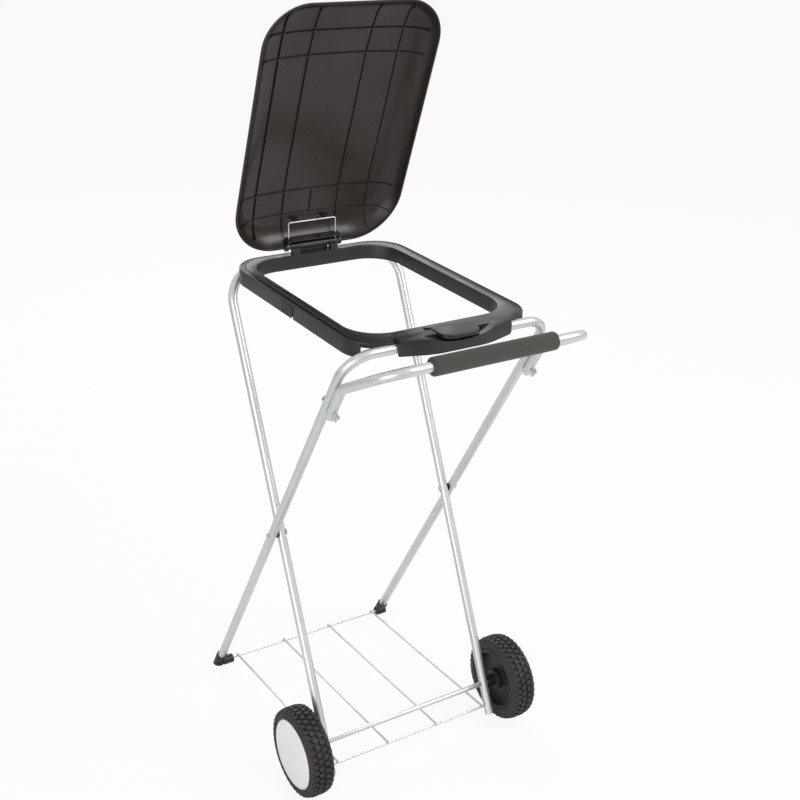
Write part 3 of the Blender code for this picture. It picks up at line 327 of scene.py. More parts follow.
def turned(name, profile, segments, place, ring=False):
    """A turned piece: a ring is extruded and resized from point to point of a (radius, height) profile."""
    radius, height = profile[0]
    rest()
    bpy.ops.mesh.primitive_circle_add(vertices=segments, radius=radius, location=(0, 0, height))
    piece = named(name)
    path = profile[1:] + [profile[0]] if ring else profile[1:]
    with editing(piece):
        for next_radius, next_height in path:
            extrude((0, 0, next_height - height))
            grow = next_radius / radius
            bpy.ops.transform.resize(value=(grow, grow, 1), center_override=(0, 0, next_height))
            radius = next_radius
            height = next_height
        bpy.ops.mesh.select_all(action='SELECT')
        bpy.ops.mesh.remove_doubles(threshold=NEAR)
        if not ring:
            fill_open()
        face_out()
    settle(piece, place)
    return piece


def plate(name, half, front, back, front_radius, back_radius, height, steps=16):
    """A flat face with round corners, facing up."""
    middle = (front + back) / 2
    rest()
    bpy.ops.mesh.primitive_plane_add(size=1, location=(0, middle, height))
    piece = named(name)
    with editing(piece):
        bpy.ops.transform.resize(value=(2 * half, back - front, 1), center_override=(0, middle, height))
        pick(piece, lambda co: co.y < middle)
        bpy.ops.mesh.bevel(offset=front_radius, segments=steps, affect='VERTICES', profile=0.5)
        pick(piece, lambda co: co.y > middle and abs(co.x) > half - NEAR and co.y > back - NEAR)
        bpy.ops.mesh.bevel(offset=back_radius, segments=steps, affect='VERTICES', profile=0.5)
    return piece


def pick_open(piece, height=None):
    """In edit mode, select the open edges: all of them, or those at a height."""
    bpy.ops.mesh.select_mode(type='EDGE')
    bpy.ops.mesh.select_all(action='DESELECT')
    mesh = bmesh.from_edit_mesh(piece.data)
    for edge in mesh.edges:
        level = height is None or all(abs(vert.co.z - height) < NEAR for vert in edge.verts)
        if level and edge.is_boundary:
            edge.select_set(True)
    bmesh.update_edit_mesh(piece.data)


class Tubes(bpy.types.PropertyGroup):
    """Sizes of the bent tubes and their fasteners."""
    radius: size("Radius", 0.008, "Outer radius of every frame tube")
    wall: size("Wall", 0.001, "Wall of the tubes")
    wheel_bend: size("Inner frame bend", 0.062, "Bend radius at the top of the inner frame")
    foot_bend: size("Outer frame bend", 0.047, "Bend radius at the top of the outer frame")
    handle_bend: size("Handle bend", 0.045, "Bend radius of the handle")
    handle_run: size("Handle reach", 0.1374, "Length of the slanted part of the handle")
    handle_drop: size("Handle drop", 0.053, "How far below the crossbar the handle bends away")
    handle_lap: size("Handle lap", 0.068, "Length of the handle that lies along the legs")
    bolt_drop: size("Bolt drop", 0.0521, "How far the handle bolts lie below the bend")
    bolt_radius: size("Bolt radius", 0.0028, "Radius of the handle bolts")
    rivet_radius: size("Rivet radius", 0.003, "Radius of the pivot rivets")


class Grip(bpy.types.PropertyGroup):
    """Sizes of the foam grip."""
    radius: size("Radius", 0.0145, "Outer radius of the grip")
    half: size("Half length", 0.113, "Half the length of the grip")
    edge: size("Edge", 0.004, "Rounding of the grip's ends")


class Wheels(bpy.types.PropertyGroup):
    """Sizes of the wheels."""
    radius: size("Radius", 0.080, "Radius to the top of the tread")
    half_width: size("Half width", 0.0235, "Half the width of the tyre")
    rim: size("Rim", 0.0582, "Radius at which the tyre sits on the hub")
    cap: size("Cap", 0.0623, "Radius of the white cap")
    lugs: count("Lugs", 40, "Tread lugs in each row")
    boss: size("Boss", 0.0185, "Radius of the boss inside the hub")
    recess: size("Recess", 0.015, "Depth of the hub's inner side")


class Feet(bpy.types.PropertyGroup):
    """Sizes of the foot caps."""
    radius: size("Radius", 0.0105, "Outer radius of the cap")
    boss: size("Boss", 0.009, "Radius of the slotted boss")
    boss_up: size("Boss height", 0.0283, "Height of the boss along the leg")
    boss_front: size("Boss forward", 0.0100, "How far the boss lies in front of the leg")
    boss_reach: size("Boss reach", 0.0200, "How far the boss reaches inwards")
    height: size("Height", 0.026, "How far the cap reaches up the tube")
    slot: size("Slot", 0.0095, "How deep the shelf's wire lies in the boss")


class Shelf(bpy.types.PropertyGroup):
    """Sizes of the wire shelf and the hinge wire."""
    wire: size("Wire", 0.002, "Radius of the shelf's wires")
    side: size("Side", 0.157, "Place of the outermost long wires")
    long_wires: count("Long wires", 4, "Number of long wires")
    hinge_wire: size("Hinge wire", 0.00125, "Radius of the lid's hinge wire")


class Rings(bpy.types.PropertyGroup):
    """Sizes of the bag ring and the clamp ring."""
    half: size("Half width", 0.1645, "Half the width of the bag ring")
    corner: size("Corner", 0.060, "Corner radius of the bag ring")
    depth: size("Depth", 0.0235, "Height of the bag ring's wall")
    wall: size("Wall", 0.0022, "Thickness of the bag ring's wall")
    band: size("Band", 0.0095, "Width of the rim on top")
    mouth_half: size("Mouth half width", 0.1406, "Half the width of the bag's mouth")
    mouth_corner: size("Mouth corner", 0.058, "Corner radius of the mouth")


class Lid(bpy.types.PropertyGroup):
    """Sizes of the lid."""
    half: size("Half width", 0.165, "Half the width of the lid")
    wall: size("Wall", 0.0022, "Thickness of the lid")
    crown: size("Crown", 0.0475, "Height of the lid's dome over its rim")
    front_corner: size("Front corner", 0.078, "Corner radius at the free edge")
    hinge_corner: size("Hinge corner", 0.088, "Corner radius at the hinge")
    rib: size("Rib", 0.0016, "Thickness of the ribs")
    rib_height: size("Rib height", 0.0034, "Height of the ribs")


class Colours(bpy.types.PropertyGroup):
    """Colours of the materials."""
    zinc: tint("Zinc", (0.70, 0.715, 0.71), "Plated tube")
    wire: tint("Wire", (0.63, 0.69, 0.68), "Plated wire")
    ring: tint("Ring", (0.024, 0.021, 0.019), "Plastic of the rings")
    lid: tint("Lid", (0.022, 0.015, 0.012), "Plastic of the lid")
    grip: tint("Grip", (0.062, 0.058, 0.050), "Foam of the grip")
    rubber: tint("Rubber", (0.028, 0.025, 0.022), "Rubber of the tyres")
    hub: tint("Hub", (0.016, 0.014, 0.013), "Plastic of the hubs")
    cap: tint("Cap", (0.93, 0.95, 0.95), "Plastic of the wheel caps")
    feet: tint("Feet", (0.012, 0.012, 0.013), "Plastic of the feet")


class Studio(bpy.types.PropertyGroup):
    """The camera and the lamps."""
    lens: bpy.props.FloatProperty(name="Lens", description="Focal length in millimetres", min=1,
                                  default=57.1)
    azimuth: bpy.props.FloatProperty(name="Azimuth", description="Camera's turn about the trolley",
                                     default=math.radians(-33.50), subtype='ANGLE')
    elevation: bpy.props.FloatProperty(name="Elevation", description="Camera's height as an angle",
                                       default=math.radians(24.34), subtype='ANGLE')
    roll: bpy.props.FloatProperty(name="Roll", description="Camera's roll", default=math.radians(2.39),
                                  subtype='ANGLE')
    place: bpy.props.FloatVectorProperty(name="Place", description="Where the camera stands", size=3,
                                         default=(-1.0680, -1.6573, 1.5540), subtype='TRANSLATION')


class Shader:
    """A material's node tree, built up one node at a time."""

    def __init__(self, name, colour, roughness, metallic=0.0, **sockets):
        self.material = bpy.data.materials.new(name)
        self.material.use_nodes = True
        self.tree = self.material.node_tree
        self.surface = self.tree.nodes["Principled BSDF"]
        self.surface.inputs["Base Color"].default_value = (*colour, 1)
        self.surface.inputs["Roughness"].default_value = roughness
        self.surface.inputs["Metallic"].default_value = metallic
        for key, value in sockets.items():
            self.surface.inputs[key.replace("_", " ")].default_value = value
        self.place = self.node("ShaderNodeTexCoord").outputs["Object"]
        self.bumps = []

    def node(self, kind, **settings):
        """Add a node with its settings."""
        node = self.tree.nodes.new(kind)
        for key, value in settings.items():
            setattr(node, key, value)
        return node

    def link(self, start, end):
        """Join an output to an input."""
        self.tree.links.new(start, end)

    def noise(self, scale, detail=2.0, stretch=(1, 1, 1), roughness=0.5):
        """Fractal noise on the piece's own coordinates."""
        mapping = self.node("ShaderNodeMapping")
        mapping.inputs["Scale"].default_value = stretch
        self.link(self.place, mapping.inputs["Vector"])
        noise = self.node("ShaderNodeTexNoise")
        noise.inputs["Scale"].default_value = scale
        noise.inputs["Detail"].default_value = detail
        noise.inputs["Roughness"].default_value = roughness
        self.link(mapping.outputs["Vector"], noise.inputs["Vector"])
        return noise.outputs["Fac"]

    def cells(self, scale, stretch=(1, 1, 1)):
        """Cell distance on the piece's own coordinates."""
        mapping = self.node("ShaderNodeMapping")
        mapping.inputs["Scale"].default_value = stretch
        self.link(self.place, mapping.inputs["Vector"])
        cells = self.node("ShaderNodeTexVoronoi")
        cells.inputs["Scale"].default_value = scale
        self.link(mapping.outputs["Vector"], cells.inputs["Vector"])
        return cells.outputs["Distance"]

    def spread(self, value, low, high, start=0.3, end=0.7):
        """Map a value's middle range to another range."""
        ramp = self.node("ShaderNodeMapRange")
        ramp.inputs["From Min"].default_value = start
        ramp.inputs["From Max"].default_value = end
        ramp.inputs["To Min"].default_value = low
        ramp.inputs["To Max"].default_value = high
        self.link(value, ramp.inputs["Value"])
        return ramp.outputs["Result"]

    def vary_colour(self, value, dark, light):
        """Run the base colour between two tints."""
        mix = self.node("ShaderNodeMix", data_type='RGBA')
        mix.inputs["A"].default_value = (*dark, 1)
        mix.inputs["B"].default_value = (*light, 1)
        self.link(value, mix.inputs["Factor"])
        self.link(mix.outputs["Result"], self.surface.inputs["Base Color"])

    def vary_roughness(self, value):
        """Drive the roughness."""
        self.link(value, self.surface.inputs["Roughness"])

    def bump(self, value, strength, distance):
        """Add one layer of bump over the layers before it."""
        bump = self.node("ShaderNodeBump")
        bump.inputs["Strength"].default_value = strength
        bump.inputs["Distance"].default_value = distance
        self.link(value, bump.inputs["Height"])
        if self.bumps:
            self.link(self.bumps[-1], bump.inputs["Normal"])
        self.bumps.append(bump.outputs["Normal"])
        self.link(bump.outputs["Normal"], self.surface.inputs["Normal"])


def tinted(colour, factor):
    """A colour made lighter or darker."""
    return tuple(min(1, channel * factor) for channel in colour)


def plated_tube(colour):
    """Bright zinc on drawn tube: faint cloudy patches and fine scratches."""
    shader = Shader("plated_tube", colour, 0.3, 0.72)
    shader.vary_colour(shader.spread(shader.noise(12, 2), 0, 1), tinted(colour, 0.95), tinted(colour, 1.05))
    shader.vary_roughness(shader.spread(shader.noise(30, 2), 0.26, 0.32))
    return shader.material


def plated_wire(colour):
    """Bright wire, slightly cloudy."""
    shader = Shader("plated_wire", colour, 0.34, 0.75)
    shader.vary_colour(shader.spread(shader.noise(60, 2), 0, 1), tinted(colour, 0.9), tinted(colour, 1.08))
    shader.vary_roughness(shader.spread(shader.noise(180, 3), 0.28, 0.44))
    return shader.material


def moulded(name, colour, gloss, grain=0.06, mottle=1.22, specular=0.42):
    """Moulded plastic: a fine grain, slow changes of gloss and a faint mottle."""
    shader = Shader(name, colour, gloss, Specular_IOR_Level=specular)
    shader.vary_colour(shader.spread(shader.noise(14, 4), 0, 1), colour, tinted(colour, mottle))
    shader.vary_roughness(shader.spread(shader.noise(22, 3), gloss - 0.05, gloss + 0.07))
    shader.bump(shader.noise(1400, 2), grain, 0.0002)
    shader.bump(shader.noise(5, 1), 0.05, 0.002)
    return shader.material


def foam(colour):
    """Closed-cell foam: small pores, no gloss."""
    shader = Shader("grip_foam", colour, 0.88, **{"Sheen_Weight": 0.15})
    pores = shader.cells(900)
    shader.vary_colour(shader.spread(pores, 0, 1, 0.1, 0.7), tinted(colour, 0.8), tinted(colour, 1.15))
    shader.bump(pores, 0.35, 0.0004)
    shader.bump(shader.noise(70, 3), 0.15, 0.0008)
    return shader.material


def rubber(colour):
    """Tyre rubber: matte, a little dusty on the high parts."""
    shader = Shader("tyre_rubber", colour, 0.60)
    shader.vary_colour(shader.spread(shader.noise(55, 4), 0, 1), tinted(colour, 0.8), tinted(colour, 1.35))
    shader.vary_roughness(shader.spread(shader.noise(30, 3), 0.50, 0.70))
    shader.bump(shader.noise(700, 3), 0.12, 0.0003)
    return shader.material


MAKERS = {}


def material(name):
    """A material by name, made when it is first asked for."""
    colours = bpy.context.scene.trolley_colours
    if name not in MAKERS:
        recipes = {
            "zinc": lambda: plated_tube(tuple(colours.zinc)),
            "wire": lambda: plated_wire(tuple(colours.wire)),
            "ring": lambda: moulded("ring_plastic", tuple(colours.ring), 0.34),
            "lid": lambda: moulded("lid_plastic", tuple(colours.lid), 0.27, 0.03, 1.15, 0.45),
            "grip": lambda: foam(tuple(colours.grip)),
            "rubber": lambda: rubber(tuple(colours.rubber)),
            "hub": lambda: moulded("hub_plastic", tuple(colours.hub), 0.42),
            "cap": lambda: moulded("cap_plastic", tuple(colours.cap), 0.30, 0.03, 1.03),
            "feet": lambda: moulded("foot_plastic", tuple(colours.feet), 0.36),
        }
        MAKERS[name] = recipes[name]()
    return MAKERS[name]


class TROLLEY_OT_frames(bpy.types.Operator):
    """Bend the two frame tubes"""
    bl_idname = "trolley.frames"
    bl_label = "Frames"

    def execute(self, context):
        tubes = context.scene.trolley_tubes
        x = WHEEL_LEG_X
        low = -AXLE_DOWN - LEG_TAIL
        reach = x + 2 * tubes.radius
        points = [(-x, 0, low), (-x, 0, WHEEL_UP), (x, 0, WHEEL_UP), (x, 0, low)]
        inner = hollow_tube(tubes, "wheel_frame_tube", points, tubes.wheel_bend)
        wire = context.scene.trolley_shelf.wire
        holes = ((reach, -AXLE_DOWN, AXLE_R), (reach, 0, tubes.rivet_radius),
                 (x, -AXLE_DOWN - SHELF_DROP, wire))
        for half, up, hole in holes:
            carve(inner, dowel((-half, 0, up), (half, 0, up), hole + GAP))
        settle(inner, WHEEL_FRAME_PLACE)
        finish(inner, material("zinc"), "wheel_frame", ["wheel_frame"])

        x = FOOT_LEG_X
        reach = x + 2 * tubes.radius
        points = [(-x, 0, -FOOT_DOWN), (-x, 0, FOOT_UP), (x, 0, FOOT_UP), (x, 0, -FOOT_DOWN)]
        outer = hollow_tube(tubes, "foot_frame_tube", points, tubes.foot_bend)
        carve(outer, dowel((-reach, 0, 0), (reach, 0, 0), tubes.rivet_radius + GAP))
        through = 2 * tubes.radius
        up = bolt_up(tubes)
        for side, _ in SIDES:
            carve(outer, dowel((side * x, -through, up), (side * x, through, up), tubes.bolt_radius + GAP))
        settle(outer, FOOT_FRAME_PLACE)
        finish(outer, material("zinc"), "foot_frame", ["foot_frame"])
        return {'FINISHED'}


def handle_off(tubes):
    """How far the handle tube lies in front of the legs."""
    return -(2 * tubes.radius + GAP)


def bolt_up(tubes):
    """Height of the handle bolts along the legs."""
    return FOOT_UP - tubes.handle_drop - tubes.bolt_drop


def grip_place(tubes):
    """Where the cross part of the handle lies, in the outer frame's own coordinates."""
    back = handle_off(tubes) - tubes.handle_run * math.sin(HANDLE_TURN)
    up = FOOT_UP - tubes.handle_drop + tubes.handle_run * math.cos(HANDLE_TURN)
    return back, up


class TROLLEY_OT_handle(bpy.types.Operator):
    """Bend the handle and slip the grip on it"""
    bl_idname = "trolley.handle"
    bl_label = "Handle and grip"

    def execute(self, context):
        tubes = context.scene.trolley_tubes
        grip = context.scene.trolley_grip
        x = FOOT_LEG_X
        off = handle_off(tubes)
        bend = FOOT_UP - tubes.handle_drop
        back, up = grip_place(tubes)
        points = [(-x, off, bend - tubes.handle_lap), (-x, off, bend), (-x, back, up),
                  (x, back, up), (x, off, bend), (x, off, bend - tubes.handle_lap)]
        handle = hollow_tube(tubes, "handle_bar", points, tubes.handle_bend)
        hole = bolt_up(tubes)
        for side, _ in SIDES:
            start = (side * x, off - 2 * tubes.radius, hole)
            end = (side * x, off + 1.6 * tubes.radius, hole)
            carve(handle, dowel(start, end, tubes.bolt_radius + GAP))
        settle(handle, FOOT_FRAME_PLACE)
        finish(handle, material("zinc"), "foot_frame", ["handle_tube"])

        inner = tubes.radius + GAP
        round_steps = 6
        edge = grip.edge
        profile = [(inner, grip.half - 0.7 * edge), (inner + 0.2 * edge, grip.half - 0.2 * edge),
                   (inner + 0.5 * edge, grip.half)]
        for step in range(round_steps + 1):
            angle = math.pi / 2 * (1 - step / round_steps)
            profile.append((grip.radius - edge * (1 - math.cos(angle)),
                            grip.half - edge * (1 - math.sin(angle))))
        profile += [(radius, -height) for radius, height in reversed(profile)]
        place = FOOT_FRAME_PLACE @ Matrix.Translation((0, back, up)) @ Matrix.Rotation(math.pi / 2, 4, 'Y')
        sleeve = turned("foam_grip", profile, 48, place, ring=True)
        finish(sleeve, material("grip"), "foot_frame", ["handle_grip"], 50)
        return {'FINISHED'}


class TROLLEY_OT_fasteners(bpy.types.Operator):
    """Turn the rivets, washers, bolts and nuts"""
    bl_idname = "trolley.fasteners"
    bl_label = "Rivets, bolts and nuts"

    def execute(self, context):
        tubes = context.scene.trolley_tubes
        for side, word in SIDES:
            across = WHEEL_FRAME_PLACE @ Matrix.Rotation(side * math.pi / 2, 4, 'Y')
            self.rivet(tubes, word, across)
            self.washer(tubes, word, across)
            place = FOOT_FRAME_PLACE @ Matrix.Translation((side * FOOT_LEG_X, 0, bolt_up(tubes)))
            self.bolt(tubes, word, place @ Matrix.Rotation(-math.pi / 2, 4, 'X'))
            self.wing_nut(tubes, word, place)
        return {'FINISHED'}

    def rivet(self, tubes, word, place):
        """A rivet through both legs, domed at both ends."""
        inner = WHEEL_LEG_X - tubes.radius - GAP
        outer = FOOT_LEG_X + tubes.radius + GAP
        head = 0.0055
        rise = 0.002
        dome = [(0.3, 1.0), (0.6, 0.85), (0.85, 0.55), (1.0, 0.2), (1.0, 0.0)]
        profile = [(head * width, outer + rise * share) for width, share in dome]
        profile += [(tubes.rivet_radius, outer), (tubes.rivet_radius, inner)]
        profile += [(head * width, inner - rise * share) for width, share in reversed(dome)]
        piece = turned("rivet_" + word, profile, 32, place)
        finish(piece, material("wire"), "wheel_frame", ["pivot_rivet_" + word])

    def washer(self, tubes, word, place):
        """A plastic washer that keeps the two legs apart."""
        low = WHEEL_LEG_X + tubes.radius + GAP
        high = low + 0.0006
        bore = tubes.rivet_radius + GAP
        edge = 0.0075
        profile = [(bore, high), (edge, high), (edge, low), (bore, low)]
        piece = turned("washer_" + word, profile, 32, place, ring=True)
        finish(piece, material("feet"), "wheel_frame", ["pivot_washer_" + word])

    def bolt(self, tubes, word, place):
        """A bolt with a domed head behind the leg."""
        seat = tubes.radius + GAP
        tip = handle_off(tubes) - seat - 0.009
        head = 0.0065
        rise = 0.0035
        point = 0.0005
        dome = [(0.25, 1.0), (0.5, 0.93), (0.75, 0.75), (0.92, 0.42), (1.0, 0.1), (1.0, 0.0)]
        profile = [(head * width, seat + rise * share) for width, share in dome]
        shank = tubes.bolt_radius
        profile += [(shank, seat), (shank, tip + point), (shank - point, tip)]
        piece = turned("bolt_" + word, profile, 32, place)
        finish(piece, material("wire"), "foot_frame", ["handle_bolt_" + word])

    def wing_nut(self, tubes, word, place):
        """A wing nut in front of the handle tube."""
        seat = handle_off(tubes) - tubes.radius - GAP
        tall = 0.007
        tip = 0.0095
        thin = 0.0009
        nut = dowel((0, seat, 0), (0, seat - tall, 0), 0.0055)
        for end in (-1, 1):
            wing = block((-thin, seat - tall - 0.0005, 0.0030), (thin, seat - 0.0020, tip))
            with editing(wing):
                pick(wing, lambda co: co.z > tip - 0.0001)
                bpy.ops.transform.translate(value=(0, -0.0012, 0))
                soften(wing, lambda co: co.z > tip - 0.0001 and abs(co.x) < 0.0001, 'EDGE', 0.0022, 4)
            settle(wing, Matrix.Rotation(math.radians(90 - 90 * end), 4, 'Y'))
            carve(nut, wing, 'UNION')
        carve(nut, dowel((0, seat + GAP, 0), (0, seat - tall - 0.003, 0), tubes.bolt_radius + GAP))
        nut.name = "wing_nut_piece_" + word
        settle(nut, place)
        finish(nut, material("wire"), "foot_frame", ["wing_nut_" + word])


class TROLLEY_OT_feet(bpy.types.Operator):
    """Mould the foot caps"""
    bl_idname = "trolley.feet"
    bl_label = "Foot caps"

    def execute(self, context):
        feet = context.scene.trolley_feet
        tube = context.scene.trolley_tubes.radius
        wire = context.scene.trolley_shelf.wire
        top = -FOOT_DOWN + feet.height
        hole = wire + GAP
        for side, word in SIDES:
            cap = dowel((0, 0, -SOLE_DOWN - feet.radius), (0, 0, top), feet.radius, 48)
            with editing(cap):
                soften(cap, lambda co: co.z > top - NEAR, 'FACE', 0.0009, 3)
            seat = Vector((0, -feet.boss_front, feet.boss_up - SOLE_DOWN))
            boss = dowel(seat, seat - Vector((side * feet.boss_reach, 0, 0)), feet.boss, 40)
            with editing(boss):
                soften(boss, lambda co: abs(co.x) > feet.boss_reach - NEAR, 'FACE', 0.0008, 3)
            carve(cap, boss, 'UNION')
            carve(cap, dowel((0, 0, -FOOT_DOWN - GAP), (0, 0, top + GAP), tube + GAP, 48))

            inner = Vector((-side * (feet.boss_reach + GAP), 0, 0))
            outer = Vector((-side * (feet.boss_reach - feet.slot), 0, 0))
            carve(cap, dowel(seat + inner, seat + outer, hole))
            way = block((inner.x, 0, -hole), (outer.x, feet.boss + 0.004, hole))
            with editing(way):
                pick(way, lambda co: co.y > feet.boss)
                bpy.ops.transform.resize(value=(1, 1, 1.35), center_override=(0, 0, 0))
            settle(way, Matrix.Translation(seat) @ Matrix.Rotation(SLOT_TURN, 4, 'X'))
            carve(cap, way)

            cap.name = "foot_" + word
            x = side * FOOT_LEG_X
            settle(cap, FOOT_FRAME_PLACE @ Matrix.Translation((x, 0, 0)))
            around = 0.03
            carve(cap, block((x - around, 0.2, -0.05), (x + around, 0.36, 0)))
            finish(cap, material("feet"), "foot_frame", ["foot_cap_" + word])
        return {'FINISHED'}


class TROLLEY_OT_wheels(bpy.types.Operator):
    """Turn the wheels and cut their tread"""
    bl_idname = "trolley.wheels"
    bl_label = "Wheels and axle"

    # Rows of lugs: distance from the middle, depth under the top, width, length, tilt and share of a pitch
    rows = ((0.0058, 0.0002, 0.0102, 0.0084, 0, 0.5), (0.0156, 0.0019, 0.0098, 0.0082, 18, 0),
            (0.0212, 0.0090, 0.0126, 0.0070, 70, 0.5))

    def execute(self, context):
        wheels = context.scene.trolley_wheels
        for (side, word), centre in zip(SIDES, (LEFT_WHEEL, RIGHT_WHEEL)):
            place = Matrix.Translation(centre) @ Matrix.Rotation(side * math.pi / 2, 4, 'Y')
            body = "wheel_" + word
            finish(self.tyre(wheels, word, place), material("rubber"), body, ["tyre_" + word], 40)
            finish(self.hub(wheels, word, place), material("hub"), body, ["wheel_hub_" + word])
            finish(self.cap(wheels, word, place), material("cap"), body, ["hub_cap_" + word])
            self.nut(word, place)
        self.axle()
        return {'FINISHED'}

    def seat(self, wheels):
        """Where the cap sits, measured outwards from the middle of the wheel."""
        return wheels.half_width - 0.0035

    def tyre(self, wheels, word, place):
        """A tyre with rows of rounded lugs, the outer rows folded over the shoulders."""
        top = wheels.radius
        edge = wheels.half_width
        seat = self.seat(wheels)
        flank = [(wheels.cap + 0.0012, edge - 0.0003), (wheels.cap + 0.0030, edge - 0.0003),
                 (wheels.cap + 0.0040, edge - 0.0016), (top - 0.0095, edge - 0.0024),
                 (top - 0.0070, edge - 0.0046), (top - 0.0054, edge - 0.0086), (top - 0.0046, 0.35 * edge)]
        profile = [(wheels.rim + GAP, seat - GAP), (wheels.cap + RUN, seat - GAP),
                   (wheels.cap + RUN, edge - 0.0010), *flank, (top - 0.0044, 0)]
        profile += [(radius, -height) for radius, height in reversed(flank)]
        profile += [(wheels.rim + 0.0030, 0.0004 - edge), (wheels.rim + GAP, 0.0030 - edge)]
        tyre = turned("tyre_body_" + word, profile, 96, Matrix.Identity(4), ring=True)
        pitch = 2 * math.pi / wheels.lugs
        tread = []
        for out, sunk, width, length, tilt, phase in self.rows:
            for side, turn in ((1, phase * pitch), (-1, (0.5 - phase) * pitch)):
                lug = self.lug(width, length)
                settle(lug, Matrix.Rotation(turn, 4, 'Z') @ Matrix.Translation((top - sunk, 0, side * out))
                       @ Matrix.Rotation(math.radians(-side * tilt), 4, 'Y'))
                with editing(lug):
                    bpy.ops.mesh.spin(steps=wheels.lugs, angle=2 * math.pi, center=(0, 0, 0), axis=(0, 0, 1),
                                      dupli=True)
                    face_out(NEAR)
                lug.name = "row_%d" % len(tread)
                tread.append(lug)
        carve(tyre, join(tread, "tread"), 'UNION', crossing=True)
        settle(tyre, place)
        return tyre

    def lug(self, width, length):
        """One lug with round ends and a soft edge, its top at the origin and facing +X."""
        depth = 0.0048
        rest()
        bpy.ops.mesh.primitive_cube_add(size=1, location=(-depth / 2, 0, 0), scale=(depth, length, width))
        lug = named("lug")
        with editing(lug):
            soften(lug, lambda co: abs(co.x + depth / 2) < 0.0001, 'EDGE', 0.0026, 3)
            pick(lug, lambda co: co.x > -0.0001, 'FACE')
            bpy.ops.transform.resize(value=(1, 0.84, 0.86), center_override=(0, 0, 0))
            bpy.ops.mesh.bevel(offset=0.0005, segments=1)
        return lug

    def hub(self, wheels, word, place):
        """A hub with a deep web on its inner side and a neck that keeps it off the leg."""
        edge = -wheels.half_width
        bore = AXLE_R + GAP
        seat = self.seat(wheels)
        floor = edge + wheels.recess
        web = floor + HUB_WEB
        rim = wheels.rim
        wall = rim - 0.0066
        boss = wheels.boss
        neck = edge - HUB_NECK + RUN
        profile = [
            (bore, HUB_FACE), (0.72 * boss, HUB_FACE), (0.75 * boss, HUB_FACE - 0.0005),
            (0.80 * boss, web + 0.001), (0.84 * boss, web), (wall, web), (wall + 0.0014, web + 0.001),
            (wall + 0.0026, seat - GAP), (rim, seat - GAP), (rim, edge + 0.0034),
            (rim - 0.0004, edge + 0.0026), (rim - 0.0015, edge + 0.0022),
            (wall + 0.0011, edge + 0.0022), (wall + 0.0003, edge + 0.0026), (wall, edge + 0.0034),
            (wall - 0.0010, floor - 0.0010), (wall - 0.0020, floor), (boss + 0.0016, floor),
            (boss + 0.0006, floor - 0.0008), (boss, edge + 0.0045), (boss - 0.0004, edge + 0.0035),
            (boss - 0.0015, edge + 0.0030), (0.0124, edge + 0.0030), (0.0116, edge + 0.0024), (0.0110, neck),
            (bore, neck),
        ]
        return turned("hub_" + word, profile, 96, place, ring=True)

    def cap(self, wheels, word, place):
        """A smooth cap, hardly domed, with a turned-down edge."""
        seat = self.seat(wheels)
        dome = [(0.02, 1.0), (0.3, 0.99), (0.55, 0.96), (0.75, 0.90), (0.88, 0.80), (0.95, 0.68),
                (0.985, 0.50), (1, 0.22), (1, 0)]
        profile = [(width * wheels.cap, seat + rise * CAP_THICK) for width, rise in dome]
        return turned("cap_" + word, profile, 96, place)

    def nut(self, word, place):
        """A push nut on the end of the axle."""
        low = HUB_FACE + RUN
        bore = AXLE_R + GAP
        edge = 0.0090
        profile = [(bore, low + 0.0026), (0.0058, low + 0.0026), (0.0066, low + 0.0022),
                   (0.0070, low + 0.0016), (edge - 0.0004, low + 0.0012), (edge, low + 0.0008), (edge, low),
                   (bore, low)]
        piece = turned("push_nut_" + word, profile, 32, place, ring=True)
        finish(piece, material("wire"), "wheel_frame", ["axle_nut_" + word])

    def axle(self):
        """The axle rod, its ends broken by a small bevel."""
        reach = RIGHT_WHEEL.x + AXLE_PAST
        rod = dowel((-reach, LEFT_WHEEL.y, LEFT_WHEEL.z), (reach, LEFT_WHEEL.y, LEFT_WHEEL.z), AXLE_R)
        with editing(rod):
            soften(rod, lambda co: abs(co.x) > reach - NEAR, 'FACE', 0.0006, 2)
        rod.name = "axle_rod"
        finish(rod, material("zinc"), "wheel_frame", ["axle"])


